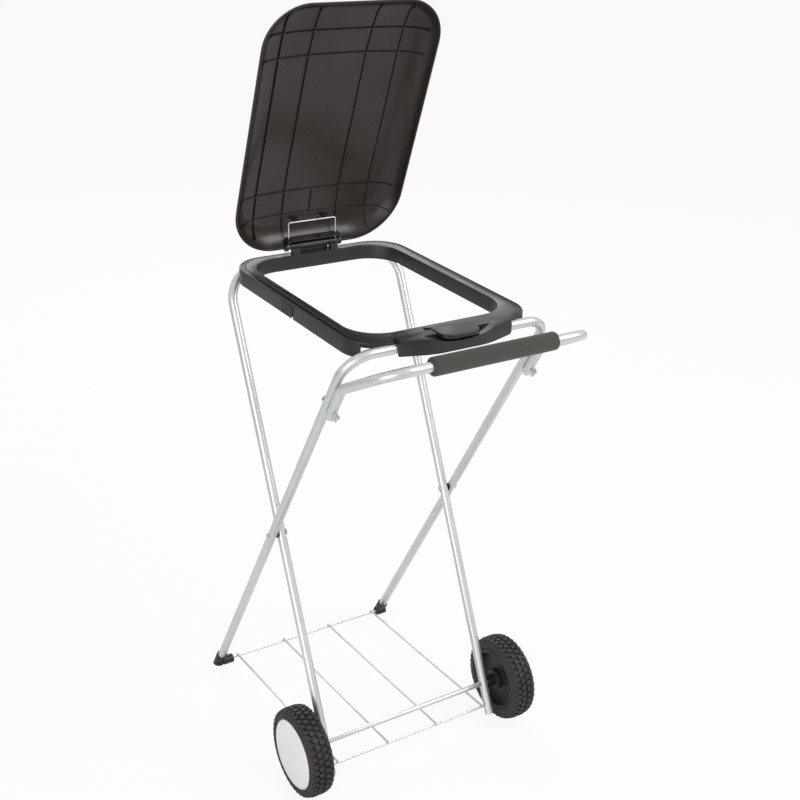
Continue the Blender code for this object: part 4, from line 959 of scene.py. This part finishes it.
class TROLLEY_OT_shelf(bpy.types.Operator):
    """Weld the wire shelf"""
    bl_idname = "trolley.shelf"
    bl_label = "Wire shelf"

    def execute(self, context):
        shelf = context.scene.trolley_shelf
        feet = context.scene.trolley_feet
        wire = shelf.wire
        down = SOLE_DOWN - feet.boss_up
        far = FOOT_FRAME_PLACE @ Vector((0, -feet.boss_front, -down))
        way = far - SHELF_HINGE
        rise = math.atan2(way.z, way.y)
        # The ends lie inside the walls of the wheel legs and in the cradles of the feet
        near_end = WHEEL_LEG_X + 0.002
        far_end = FOOT_LEG_X - feet.boss_reach + 0.0085
        past = 0.003
        lift = 2 * wire - 0.0005
        places = [shelf.side * (2 * index / (shelf.long_wires - 1) - 1) for index in range(shelf.long_wires)]
        piece = self.wire((-near_end, 0, 0), (near_end, 0, 0), wire)
        carve(piece, self.wire((-far_end, way.length, 0), (far_end, way.length, 0), wire), 'UNION')
        for x in places:
            carve(piece, self.wire((x, -past, lift), (x, way.length + past, lift), wire), 'UNION')
        for x in places:
            for y in (0, way.length):
                carve(piece, self.weld((x, y, lift / 2), wire), 'UNION')
        piece.name = "shelf_wires"
        settle(piece, Matrix.Translation(SHELF_HINGE) @ Matrix.Rotation(rise, 4, 'X'))
        finish(piece, material("wire"), "shelf", ["wire_shelf"], 50)
        return {'FINISHED'}

    def wire(self, start, end, radius):
        """A straight wire whose cut ends have a small bevel."""
        rod = dowel(start, end, radius, 20)
        along = (Vector(end) - Vector(start)).normalized()
        with editing(rod):
            middle = (Vector(start) + Vector(end)) / 2
            reach = (Vector(end) - middle).length
            soften(rod, lambda co: abs((co - middle).dot(along)) > reach - NEAR, 'FACE', 0.0004, 2)
        return rod

    def weld(self, place, radius):
        """The small swelling where two wires are welded."""
        rest()
        bpy.ops.mesh.primitive_uv_sphere_add(segments=14, ring_count=8, radius=0.8 * radius, location=place,
                                             scale=(1.5, 1.5, 0.7))
        return named("weld")


class TROLLEY_OT_rings(bpy.types.Operator):
    """Mould the bag ring and the clamp ring"""
    bl_idname = "trolley.rings"
    bl_label = "Bag ring and clamp ring"

    # Openings in the ring's wall over the tubes, and the two clips behind
    front_gap = 0.153
    side_gap = 0.100
    clip = (0.058, 0.066)

    # The latch housing: half widths, how far its nose stands out, and the round dish for the fingers
    wings = 0.105
    bulge_half = 0.1035
    tip_half = 0.050
    seat_half = 0.037
    nose = 0.017
    dish_radius = 0.180
    dish_up = 0.1858

    # The pads on the side walls: where they end behind, and their length
    pad_back = -0.1885
    pad_length = 0.041

    def execute(self, context):
        rings = context.scene.trolley_rings
        levels = ring_levels(context)
        ring = self.bag_ring(rings, levels)
        settle(ring, Matrix.Translation(REAR_BAR))
        finish(ring, material("ring"), "bag_ring", ["bag_ring"])
        clamp = self.clamp_ring(rings, levels)
        settle(clamp, Matrix.Translation(REAR_BAR))
        finish(clamp, material("ring"), "clamp_ring", ["clamp_ring"])
        return {'FINISHED'}

    def bag_ring(self, rings, at):
        """The outer ring: its section from one flat plate, then its openings, housing, clips and barrel."""
        corner = rings.corner
        ring = plate("ring", rings.half, at["front"], at["back"], corner, corner, at["bottom"], 18)
        with editing(ring):
            extrude((0, 0, at["top"] - 0.0018 - at["bottom"]))
            # The rim from its outer edge inwards: width and rise of each step, with one groove
            inset((0.0003, 0.0009), (0.0005, 0.0005), (0.0010, 0.0004), (0.0018, 0), (0.0005, -0.0018),
                  (0.0014, 0), (0.0005, 0.0014), (rings.band - 0.0069, 0), (0.0009, -0.0009))
            extrude((0, 0, at["ledge_top"] - at["top"] + 0.0013))
            inset((at["ledge"], 0))
            extrude((0, 0, at["bar_top"] - at["ledge_top"]))
            drop_faces()
            # The inside, from below
            pick(ring, lambda co: co.z < at["bottom"] + NEAR, 'FACE')
            inset((rings.wall, 0))
            extrude((0, 0, at["bar_top"] - at["bottom"]))
            inset((rings.band + at["ledge"] - rings.wall, 0))
            drop_faces()
            face_out(2 * NEAR)
        low = at["bottom"] - 0.01
        high = at["bar_top"] - 0.00005
        half = self.front_gap
        carve(ring, block((-half, at["front"] - 0.01, low), (half, at["front"] + 0.025, high)))
        for side, _ in SIDES:
            far = (side * (rings.half + 0.01), at["back"] + 0.01, high)
            carve(ring, block((side * self.side_gap, -0.024, low), far))
        self.housing(ring, at)
        for side, _ in SIDES:
            near = side * self.clip[0]
            far = side * self.clip[1]
            clip = block((near, -0.004, at["bottom"] + 0.001), (far, at["back"] - 0.001, 0.004))
            carve(clip, dowel((near - side * 0.001, 0, 0), (far + side * 0.001, 0, 0), at["bar_top"], 40))
            carve(ring, clip, 'UNION')
            self.pad(ring, rings, at, side)
        reach = BARREL - GAP - RUN
        front = at["back"] - rings.band + GAP
        barrel = lug_body((-reach, reach), front, at["back"] - 0.001, at["top"] - 0.002)
        carve(ring, barrel, 'UNION')
        carve(ring, dowel((-BARREL, HINGE.y, HINGE.z), (BARREL, HINGE.y, HINGE.z), PIN_R + GAP))
        return ring

    def housing(self, ring, at):
        """The latch housing: wings over the crossbar, a hollow bulge, a finger dish and the tab's seat."""
        front = at["housing"]
        back = at["front"] + 0.0095
        low = -0.008
        wings = block((-self.wings, front, low), (self.wings, back - 0.0005, at["top"] - 0.0008))
        with editing(wings):
            soften(wings, lambda co: co.y < front + NEAR and abs(co.z) > 0.0079 and abs(co.x) < 0.01, 'EDGE',
                   0.0015, 4)
        carve(ring, wings, 'UNION')
        carve(ring, self.bulge(front, back - 0.0012, 0, -0.0095, 0.0165, 0.0020), 'UNION')

        # Its hollow
        low = at["bottom"] - 0.01
        wall = 0.0025
        inside = front + wall
        carve(ring, block((-0.115, inside, low), (0.115, at["front"] + 0.03, at["bar_top"] - 0.00005)))
        carve(ring, self.bulge(front, inside + 0.001, wall, low, wall, 0))

        # The dish for the fingers and the seat of the tab
        start = front - self.nose - 0.01
        up = self.dish_up
        carve(ring, dowel((0, start, up), (0, front + 0.0007, up), self.dish_radius, 240))
        half = self.seat_half
        carve(ring, block((-half, start, 0.0115), (half, at["front"] + 0.02, 0.028)))

    def bulge(self, front, back, shrink, low, high, crest):
        """The bulge of the housing: a block whose sides sweep forward in an S to a slightly rounded nose."""
        half = self.bulge_half - shrink
        tip = self.tip_half - shrink
        sweep = front + shrink
        nose = sweep - self.nose
        body = block((-half, sweep, low), (half, back, high))
        with editing(body):
            pick(body, lambda co: co.y < sweep + NEAR, 'FACE')
            extrude((0, nose - sweep, 0))
            pick(body, lambda co: co.y < nose + NEAR)
            bpy.ops.transform.resize(value=(tip / half, 1, 1), center_override=(0, nose, 0))
            soften(body, lambda co: co.y < nose + NEAR and abs(co.x) > tip - 0.001, 'EDGE', 0.016, 8)
            if crest:
                soften(body, lambda co: co.z > high - NEAR and co.y < sweep, 'EDGE', crest, 3)
        return body

    def pad(self, ring, rings, at, side):
        """The raised pad on the outer wall, with its notch and fine upright ribs."""
        back = self.pad_back
        front = back - self.pad_length
        x = rings.half
        bottom = at["bottom"]
        pad = block((side * (x - 0.001), front, bottom + 0.0005),
                    (side * (x + 0.0012), back, at["top"] - 0.006))
        with editing(pad):
            soften(pad, lambda co: abs(co.x) > x + 0.0011, 'FACE', 0.0006, 2)
        carve(ring, pad, 'UNION')
        carve(ring, block((side * (x - 0.003), front - 0.0005, bottom - 0.001),
                          (side * (x + 0.002), front + 0.007, bottom + 0.0045)))
        for index in range(7):
            y = front + 0.011 + 0.004 * index
            carve(ring, block((side * (x + 0.0007), y, bottom + 0.002),
                              (side * (x + 0.002), y + 0.0011, at["top"] - 0.008)))

    def clamp_ring(self, rings, at):
        """The inner ring: an outer flange bridged to an inner wall, with the thumb tab and hinge lugs."""
        edge = at["step_in"]
        corner = rings.corner - edge
        joint = at["bar_top"] + 0.0002
        flange = plate("clamp_flange", rings.half - edge, at["front"] + edge, at["back"] - edge,
                       corner, corner, at["flange_low"], 18)
        with editing(flange):
            extrude((0, 0, 0.0004))
            inset((0.0012, 0.0012))
            drop_faces()
            pick(flange, lambda co: co.z < at["flange_low"] + NEAR, 'FACE')
            inset((rings.band + at["ledge"] + RUN - edge, 0))
            extrude((0, 0, joint - at["flange_low"]))
            drop_faces()

        wall = 0.0018
        bottom = at["bottom"] + 0.0008
        corner = rings.mouth_corner + wall
        skirt = plate("clamp_skirt", rings.mouth_half + wall, at["mouth_front"] - wall,
                      at["mouth_back"] + wall, corner, corner, bottom, 18)
        with editing(skirt):
            extrude((0, 0, joint - bottom))
            drop_faces()
            pick(skirt, lambda co: co.z < bottom + NEAR, 'FACE')
            inset((wall, 0))
            extrude((0, 0, at["flange_top"] - 0.0018 - bottom))
            middle = (at["mouth_front"] + at["mouth_back"]) / 2
            length = (at["mouth_back"] - at["mouth_front"]) / 2
            for out, up in ((0.0003, 0.0008), (0.0009, 0.0006)):
                extrude((0, 0, up))
                grow = (1 + out / rings.mouth_half, 1 + out / length, 1)
                bpy.ops.transform.resize(value=grow, center_override=(0, middle, 0))
            drop_faces()

        clamp = join([flange, skirt], "clamp")
        with editing(clamp):
            pick_open(clamp, joint)
            bpy.ops.mesh.bridge_edge_loops()
            pick_open(clamp)
            bpy.ops.mesh.bridge_edge_loops()
            face_out()
        carve(clamp, self.tab(at), 'UNION')
        for side, _ in SIDES:
            ends = sorted((side * BARREL, side * 0.0453))
            lug = lug_body(ends, at["mouth_back"] + wall, at["back"] - edge, at["flange_low"] + 0.0005)
            carve(clamp, lug, 'UNION')
            pin = dowel((side * 0.035, HINGE.y, HINGE.z), (side * 0.023, HINGE.y, HINGE.z), PIN_R)
            carve(clamp, pin, 'UNION')
            carve(clamp, dowel((side * 0.0463, HINGE.y, HINGE.z), (side * 0.033, HINGE.y, HINGE.z), 0.00155))
        return clamp

    def tab(self, at):
        """The thumb tab: a block with round front corners and a sloping root sunk in the flange."""
        half = 0.036
        tip = -SPAN - 0.032
        root = at["front"] + 0.034
        top = 0.018
        under = top - 0.006
        sunk = at["flange_top"] - 0.0008
        start = at["front"] + at["band"] + 0.0015
        step = 0.001
        tab = block((-half, tip, under), (half, start, top))
        with editing(tab):
            pick(tab, lambda co: co.y > start - NEAR, 'FACE')
            extrude((0, step, 0))
            pick(tab, lambda co: co.y > start + step / 2 and co.z < under + 0.001)
            bpy.ops.transform.translate(value=(0, 0, sunk - 0.0004 - under))
            pick(tab, lambda co: co.y > start + 0.9 * step, 'FACE')
            extrude((0, root - start - step, 0))
            pick(tab, lambda co: co.y > root - NEAR and co.z > top - 0.001)
            bpy.ops.transform.translate(value=(0, 0, sunk - top))
            soften(tab, lambda co: co.y < tip + NEAR and abs(co.x) > half - 0.001, 'EDGE', 0.020, 10)
            soften(tab, lambda co: co.z > top - NEAR and co.y < start - NEAR, 'EDGE', 0.0012, 3)
            face_out()
        return tab


def ring_levels(context):
    """Heights and places of the rings, measured from the middle of the rear crossbar."""
    rings = context.scene.trolley_rings
    tube = context.scene.trolley_tubes.radius
    top = tube + 0.0035
    bar_top = tube + GAP
    ledge_top = bar_top + 0.0013
    flange_low = ledge_top + GAP
    return {
        "top": top,
        "bottom": top - 0.003 - rings.depth,
        "bar_top": bar_top,
        "ledge": 0.0035,
        "ledge_top": ledge_top,
        "flange_low": flange_low,
        "flange_top": flange_low + 0.0016,
        "front": -SPAN - 0.001,
        "back": tube + RUN + rings.wall,
        "housing": -SPAN - tube - RUN - 0.0025,
        "mouth_front": -SPAN + 0.0377,
        "mouth_back": -tube - RUN - 0.0018,
        "band": rings.band,
        "step_in": rings.band + RUN,
    }


def lug_body(ends, front, back, low):
    """A hinge lug: a straight neck with a round head at the hinge axis."""
    lug = block((ends[0], front, low), (ends[1], back, HINGE.z - 0.001))
    carve(lug, dowel((ends[0], HINGE.y, HINGE.z), (ends[1], HINGE.y, HINGE.z), 0.006, 40), 'UNION')
    return lug


class TROLLEY_OT_lid(bpy.types.Operator):
    """Mould the lid and bend its hinge wire"""
    bl_idname = "trolley.lid"
    bl_label = "Lid and hinge wire"

    # The pocket round the hinge, its roof measured from the rim, and the round shoulders beside it
    pocket_half = 0.0508
    pocket_deep = 0.013
    pocket_roof = 0.0125
    shoulder_radius = 0.0075
    shoulder_width = 0.005

    # Insets of the dome's rings, as parts of the lid's half width
    steps = (0.008, 0.018, 0.030, 0.046, 0.065, 0.095, 0.13, 0.17, 0.22, 0.29, 0.38, 0.50, 0.64, 0.80, 0.93)

    def execute(self, context):
        lid = context.scene.trolley_lid
        wire = context.scene.trolley_shelf.hinge_wire
        shell = self.shell(lid)
        carve(shell, self.ribs(lid), 'UNION')
        self.recess(shell, lid, wire)
        settle(shell, LID_PLACE)
        finish(shell, material("lid"), "lid", ["lid"], 38)
        self.wire(wire)
        return {'FINISHED'}

    def crown(self, lid, distance):
        """How far the outside of the lid stands above its rim at a distance from the edge."""
        steep = 1 - math.exp(-distance / 0.0105)
        broad = math.sin(min(distance / lid.half, 1) * math.pi / 2) ** 0.8
        return lid.crown * (0.60 * steep + 0.40 * broad)

    def dome(self, lid, name, drop, start):
        """An open dome, drawn up from a flat plate ring by ring; start is its first inset."""
        steps = [step for step in self.steps if step * lid.half > start]
        if start > 0:
            steps.insert(0, start / lid.half)
        dome = plate(name, lid.half, -LID_LENGTH, 0, lid.front_corner, lid.hinge_corner, -LID_RIM_DROP, 16)
        half_length = LID_LENGTH / 2
        across = 1
        along = 1
        height = 0
        with editing(dome):
            for step in steps:
                distance = step * lid.half
                up = self.crown(lid, distance) - drop
                extrude((0, 0, up - height))
                new_across = 1 - step
                new_along = 1 - distance / half_length
                bpy.ops.transform.resize(value=(new_across / across, new_along / along, 1),
                                         center_override=(0, -half_length, 0))
                across = new_across
                along = new_along
                height = up
        return dome

    def shell(self, lid):
        """The lid's wall, with the thick rolled rim round its edge."""
        shell = self.dome(lid, "lid_shell", 0, 0)
        self.open_below(shell)
        keep(shell, 'SOLIDIFY', "wall", thickness=lid.wall, offset=-1, use_even_offset=True)
        carve(shell, self.bead(lid), 'UNION')
        return shell

    def open_below(self, dome):
        """Take the flat face away from under a dome."""
        with editing(dome):
            pick(dome, lambda co: co.z < NEAR - LID_RIM_DROP, 'FACE')
            drop_faces()
            face_out()

    def bead(self, lid):
        """The rolled bead that stiffens the rim on the inside."""
        wide = 0.0034
        high = 0.0030
        bead = plate("bead", lid.half, -LID_LENGTH, 0, lid.front_corner, lid.hinge_corner, -LID_RIM_DROP, 16)
        with editing(bead):
            extrude((0, 0, high))
            drop_faces()
            pick(bead, lambda co: co.z < NEAR - LID_RIM_DROP, 'FACE')
            inset((wide, 0))
            extrude((0, 0, high))
            drop_faces()
            pick_open(bead, high - LID_RIM_DROP)
            bpy.ops.mesh.bridge_edge_loops()
            soften(bead, lambda co: co.z < NEAR - LID_RIM_DROP, 'EDGE', 0.0009, 3)
            face_out()
        return bead

    def ribs(self, lid):
        """The grid of ribs, kept to a layer just inside the wall."""
        layer = self.dome(lid, "rib_layer", lid.wall - 0.0007, 0.016)
        self.open_below(layer)
        keep(layer, 'SOLIDIFY', "height", thickness=lid.rib_height, offset=-1)
        low = 0.001
        high = 0.06
        half = lid.rib / 2
        bars = []
        for x in (0.0544, 0.1121):
            for side, _ in SIDES:
                bars.append(((side * x - half, 0.020 - LID_LENGTH, low), (side * x + half, -0.020, high)))
        for along, thick in ((0.049, 1.4), (0.094, 1.4), (0.353, 1.0), (0.398, 1.0)):
            wide = lid.half - 0.014
            bars.append(((-wide, -along - thick * half, low), (wide, thick * half - along, high)))
        bars.append(((-1.4 * half, -0.094, low), (1.4 * half, -0.049, high)))
        grid = block(*bars[0])
        for bar in bars[1:]:
            carve(grid, block(*bar), 'UNION')
        carve(layer, grid, 'INTERSECT')
        return layer

    def recess(self, shell, lid, wire):
        """The pocket round the hinge, the seats of the wire and the small round marks."""
        half = self.pocket_half
        deep = self.pocket_deep
        roof = self.pocket_roof - LID_RIM_DROP
        pocket = block((-half - lid.wall, -deep - lid.wall, 0.0002 - LID_RIM_DROP),
                       (half + lid.wall, 0.001, roof + lid.wall))
        with editing(pocket):
            soften(pocket, lambda co: co.z > roof and abs(co.x) < half, 'EDGE', 0.0015, 3)
        carve(shell, pocket, 'UNION')
        for side, _ in SIDES:
            end = (side * (half + self.shoulder_width), 0, 0)
            carve(shell, dowel((side * half, 0, 0), end, self.shoulder_radius, 40), 'UNION')
        carve(shell, block((-half, -deep, -0.01), (half, 0.01, roof)))

        under = self.crown(lid, WIRE_UP) - lid.wall - LID_RIM_DROP
        for side, _ in SIDES:
            x = side * 0.030
            carve(shell, block((x - 0.004, -WIRE_UP - 0.003, WIRE_TOP - 0.0001),
                               (x + 0.004, 0.003 - WIRE_UP, under + 0.0010)), 'UNION')
        carve(shell, dowel((-WIRE_OUT, -WIRE_UP, WIRE_TOP), (WIRE_OUT, -WIRE_UP, WIRE_TOP), wire + GAP))
        for x, along in ((-0.125, 0.060), (0.125, 0.060), (0, 0.150)):
            carve(shell, self.boss(lid, x, along), 'UNION')

    def boss(self, lid, x, along):
        """A small round moulding mark that stands a little proud of the inside."""
        nearest = min(lid.half - abs(x), along, LID_LENGTH - along)
        under = self.crown(lid, nearest) - lid.wall - LID_RIM_DROP
        radius = 0.0045 if x else 0.003
        boss = dowel((x, -along, under - 0.0012), (x, -along, under + 0.0012), radius, 24)
        with editing(boss):
            pick(boss, lambda co: co.z < under - 0.0012 + NEAR, 'FACE')
            inset((0.35 * radius, 0))
            extrude((0, 0, 0.0008))
        return boss

    def wire(self, radius):
        """The bent wire in the lid, whose ends are the hinge pins."""
        x = WIRE_OUT
        points = [(-0.035, 0, 0), (-x, 0, 0), (-x, -WIRE_UP, WIRE_TOP), (x, -WIRE_UP, WIRE_TOP), (x, 0, 0),
                  (0.035, 0, 0)]
        wire = bent_tube("lid_wire", radius, points, [0.002, 0.003, 0.003, 0.002], 16, 6)
        with editing(wire):
            fill_open()
        for side, _ in SIDES:
            rest()
            bpy.ops.mesh.primitive_uv_sphere_add(segments=20, ring_count=12, radius=1.65 * radius,
                                                 location=(side * x, 0, 0), scale=(1, 1.2, 1.2))
            carve(wire, named("bead"), 'UNION')
        settle(wire, LID_PLACE)
        finish(wire, material("wire"), "lid", ["hinge_wire"], 50)


class TROLLEY_OT_stage(bpy.types.Operator):
    """Set up the floor, the lamps and the camera"""
    bl_idname = "trolley.stage"
    bl_label = "Studio"

    def execute(self, context):
        studio = context.scene.trolley_studio
        self.floor()
        self.world(context)
        self.lamp("key", (2.0, -2.0, 3.0), (0, 0, 0.7), 2.0, 62)
        self.lamp("fill", (-2.6, -1.6, 1.2), (0, 0, 0.4), 2.4, 26)
        self.lamp("rim", (0.8, 2.8, 2.6), (0, 0, 0.9), 2.0, 34)
        self.camera(studio)
        context.scene.view_settings.view_transform = 'Standard'
        return {'FINISHED'}

    def floor(self):
        """A wide pale floor that keeps a soft shadow."""
        rest()
        bpy.ops.mesh.primitive_plane_add(size=60, location=(0, 0, -0.0004))
        floor = named("studio_floor")
        white = bpy.data.materials.new("studio_white")
        white.use_nodes = True
        nodes = white.node_tree.nodes
        surface = nodes["Principled BSDF"]
        surface.inputs["Base Color"].default_value = (0.93, 0.93, 0.93, 1)
        surface.inputs["Roughness"].default_value = 0.95
        glow = nodes.new("ShaderNodeEmission")
        glow.inputs["Strength"].default_value = 1.0
        part = nodes.new("ShaderNodeMath")
        part.operation = 'MULTIPLY'
        part.inputs[1].default_value = 0.90
        self.seen_as(white.node_tree, part, ["Is Camera Ray"], surface, glow, nodes["Material Output"])
        floor.data.materials.append(white)

    def world(self, context):
        """White to the camera and in reflections, a soft pale light on everything else."""
        world = bpy.data.worlds.new("studio_world")
        context.scene.world = world
        world.use_nodes = True
        nodes = world.node_tree.nodes
        light = nodes["Background"]
        light.inputs["Color"].default_value = (0.97, 0.98, 1.0, 1)
        light.inputs["Strength"].default_value = 0.45
        seen = nodes.new("ShaderNodeBackground")
        # The camera.
        seen.inputs["Strength"].default_value = 1.0
        either = nodes.new("ShaderNodeMath")
        either.operation = 'MAXIMUM'
        rays = ["Is Camera Ray", "Is Glossy Ray"]
        self.seen_as(world.node_tree, either, rays, light, seen, nodes["World Output"])

    def seen_as(self, tree, fraction, rays, plain, white, output):
        """Mix a plain shader with a white one, by a fraction that is worked out from the kinds of ray."""
        mix = tree.nodes.new("ShaderNodeMixShader")
        path = tree.nodes.new("ShaderNodeLightPath")
        for socket, ray in zip(fraction.inputs, rays):
            tree.links.new(path.outputs[ray], socket)
        tree.links.new(fraction.outputs[0], mix.inputs["Fac"])
        tree.links.new(plain.outputs[0], mix.inputs[1])
        tree.links.new(white.outputs[0], mix.inputs[2])
        tree.links.new(mix.outputs["Shader"], output.inputs["Surface"])

    def lamp(self, name, place, target, width, power):
        """A square soft box aimed at a point."""
        rest()
        bpy.ops.object.light_add(type='AREA', location=place)
        lamp = bpy.context.object
        lamp.name = "lamp_" + name
        lamp.data.size = width
        lamp.data.energy = power
        aim = Vector(place) - Vector(target)
        lamp.rotation_euler = aim.to_track_quat('Z', 'Y').to_euler()

    def camera(self, studio):
        """The camera at the photograph's angle."""
        back = Vector((math.sin(studio.azimuth) * math.cos(studio.elevation),
                       -math.cos(studio.azimuth) * math.cos(studio.elevation),
                       math.sin(studio.elevation)))
        turn = back.to_track_quat('Z', 'Y') @ Quaternion((0, 0, 1), studio.roll)
        rest()
        bpy.ops.object.camera_add(location=studio.place, rotation=turn.to_euler())
        camera = bpy.context.object
        camera.name = "studio_camera"
        camera.data.lens = studio.lens
        camera.data.sensor_width = 36
        camera.data.clip_start = 0.05
        camera.data.clip_end = 100
        bpy.context.scene.camera = camera


class TROLLEY_PT_panel(bpy.types.Panel):
    """The trolley's pieces, in the order in which they are made"""
    bl_label = "Bag Trolley"
    bl_idname = "TROLLEY_PT_panel"
    bl_space_type = 'VIEW_3D'
    bl_region_type = 'UI'
    bl_category = "Bag Trolley"

    def draw(self, context):
        for name, _ in GROUPS:
            box = self.layout.box()
            settings = getattr(context.scene, name)
            for prop in settings.bl_rna.properties:
                if prop.identifier not in {"rna_type", "name"}:
                    box.prop(settings, prop.identifier)
        for operator in OPERATORS:
            self.layout.operator(operator.bl_idname)


GROUPS = (
    ("trolley_tubes", Tubes),
    ("trolley_grip", Grip),
    ("trolley_wheels", Wheels),
    ("trolley_feet", Feet),
    ("trolley_shelf", Shelf),
    ("trolley_rings", Rings),
    ("trolley_lid", Lid),
    ("trolley_colours", Colours),
    ("trolley_studio", Studio),
)
OPERATORS = (
    TROLLEY_OT_frames,
    TROLLEY_OT_handle,
    TROLLEY_OT_fasteners,
    TROLLEY_OT_feet,
    TROLLEY_OT_wheels,
    TROLLEY_OT_shelf,
    TROLLEY_OT_rings,
    TROLLEY_OT_lid,
    TROLLEY_OT_stage,
)


def register():
    """Register the property groups, the operators and the panel."""
    for name, group in GROUPS:
        bpy.utils.register_class(group)
        setattr(bpy.types.Scene, name, bpy.props.PointerProperty(type=group))
    for operator in OPERATORS:
        bpy.utils.register_class(operator)
    bpy.utils.register_class(TROLLEY_PT_panel)


def unregister():
    """Take everything back out, in reverse."""
    bpy.utils.unregister_class(TROLLEY_PT_panel)
    for operator in reversed(OPERATORS):
        bpy.utils.unregister_class(operator)
    for name, group in reversed(GROUPS):
        delattr(bpy.types.Scene, name)
        bpy.utils.unregister_class(group)


def main():
    """Build every piece."""
    register()
    for operator in OPERATORS:
        group, action = operator.bl_idname.split(".")
        getattr(getattr(bpy.ops, group), action)()
    rest()


if __name__ == "__main__":
    main()
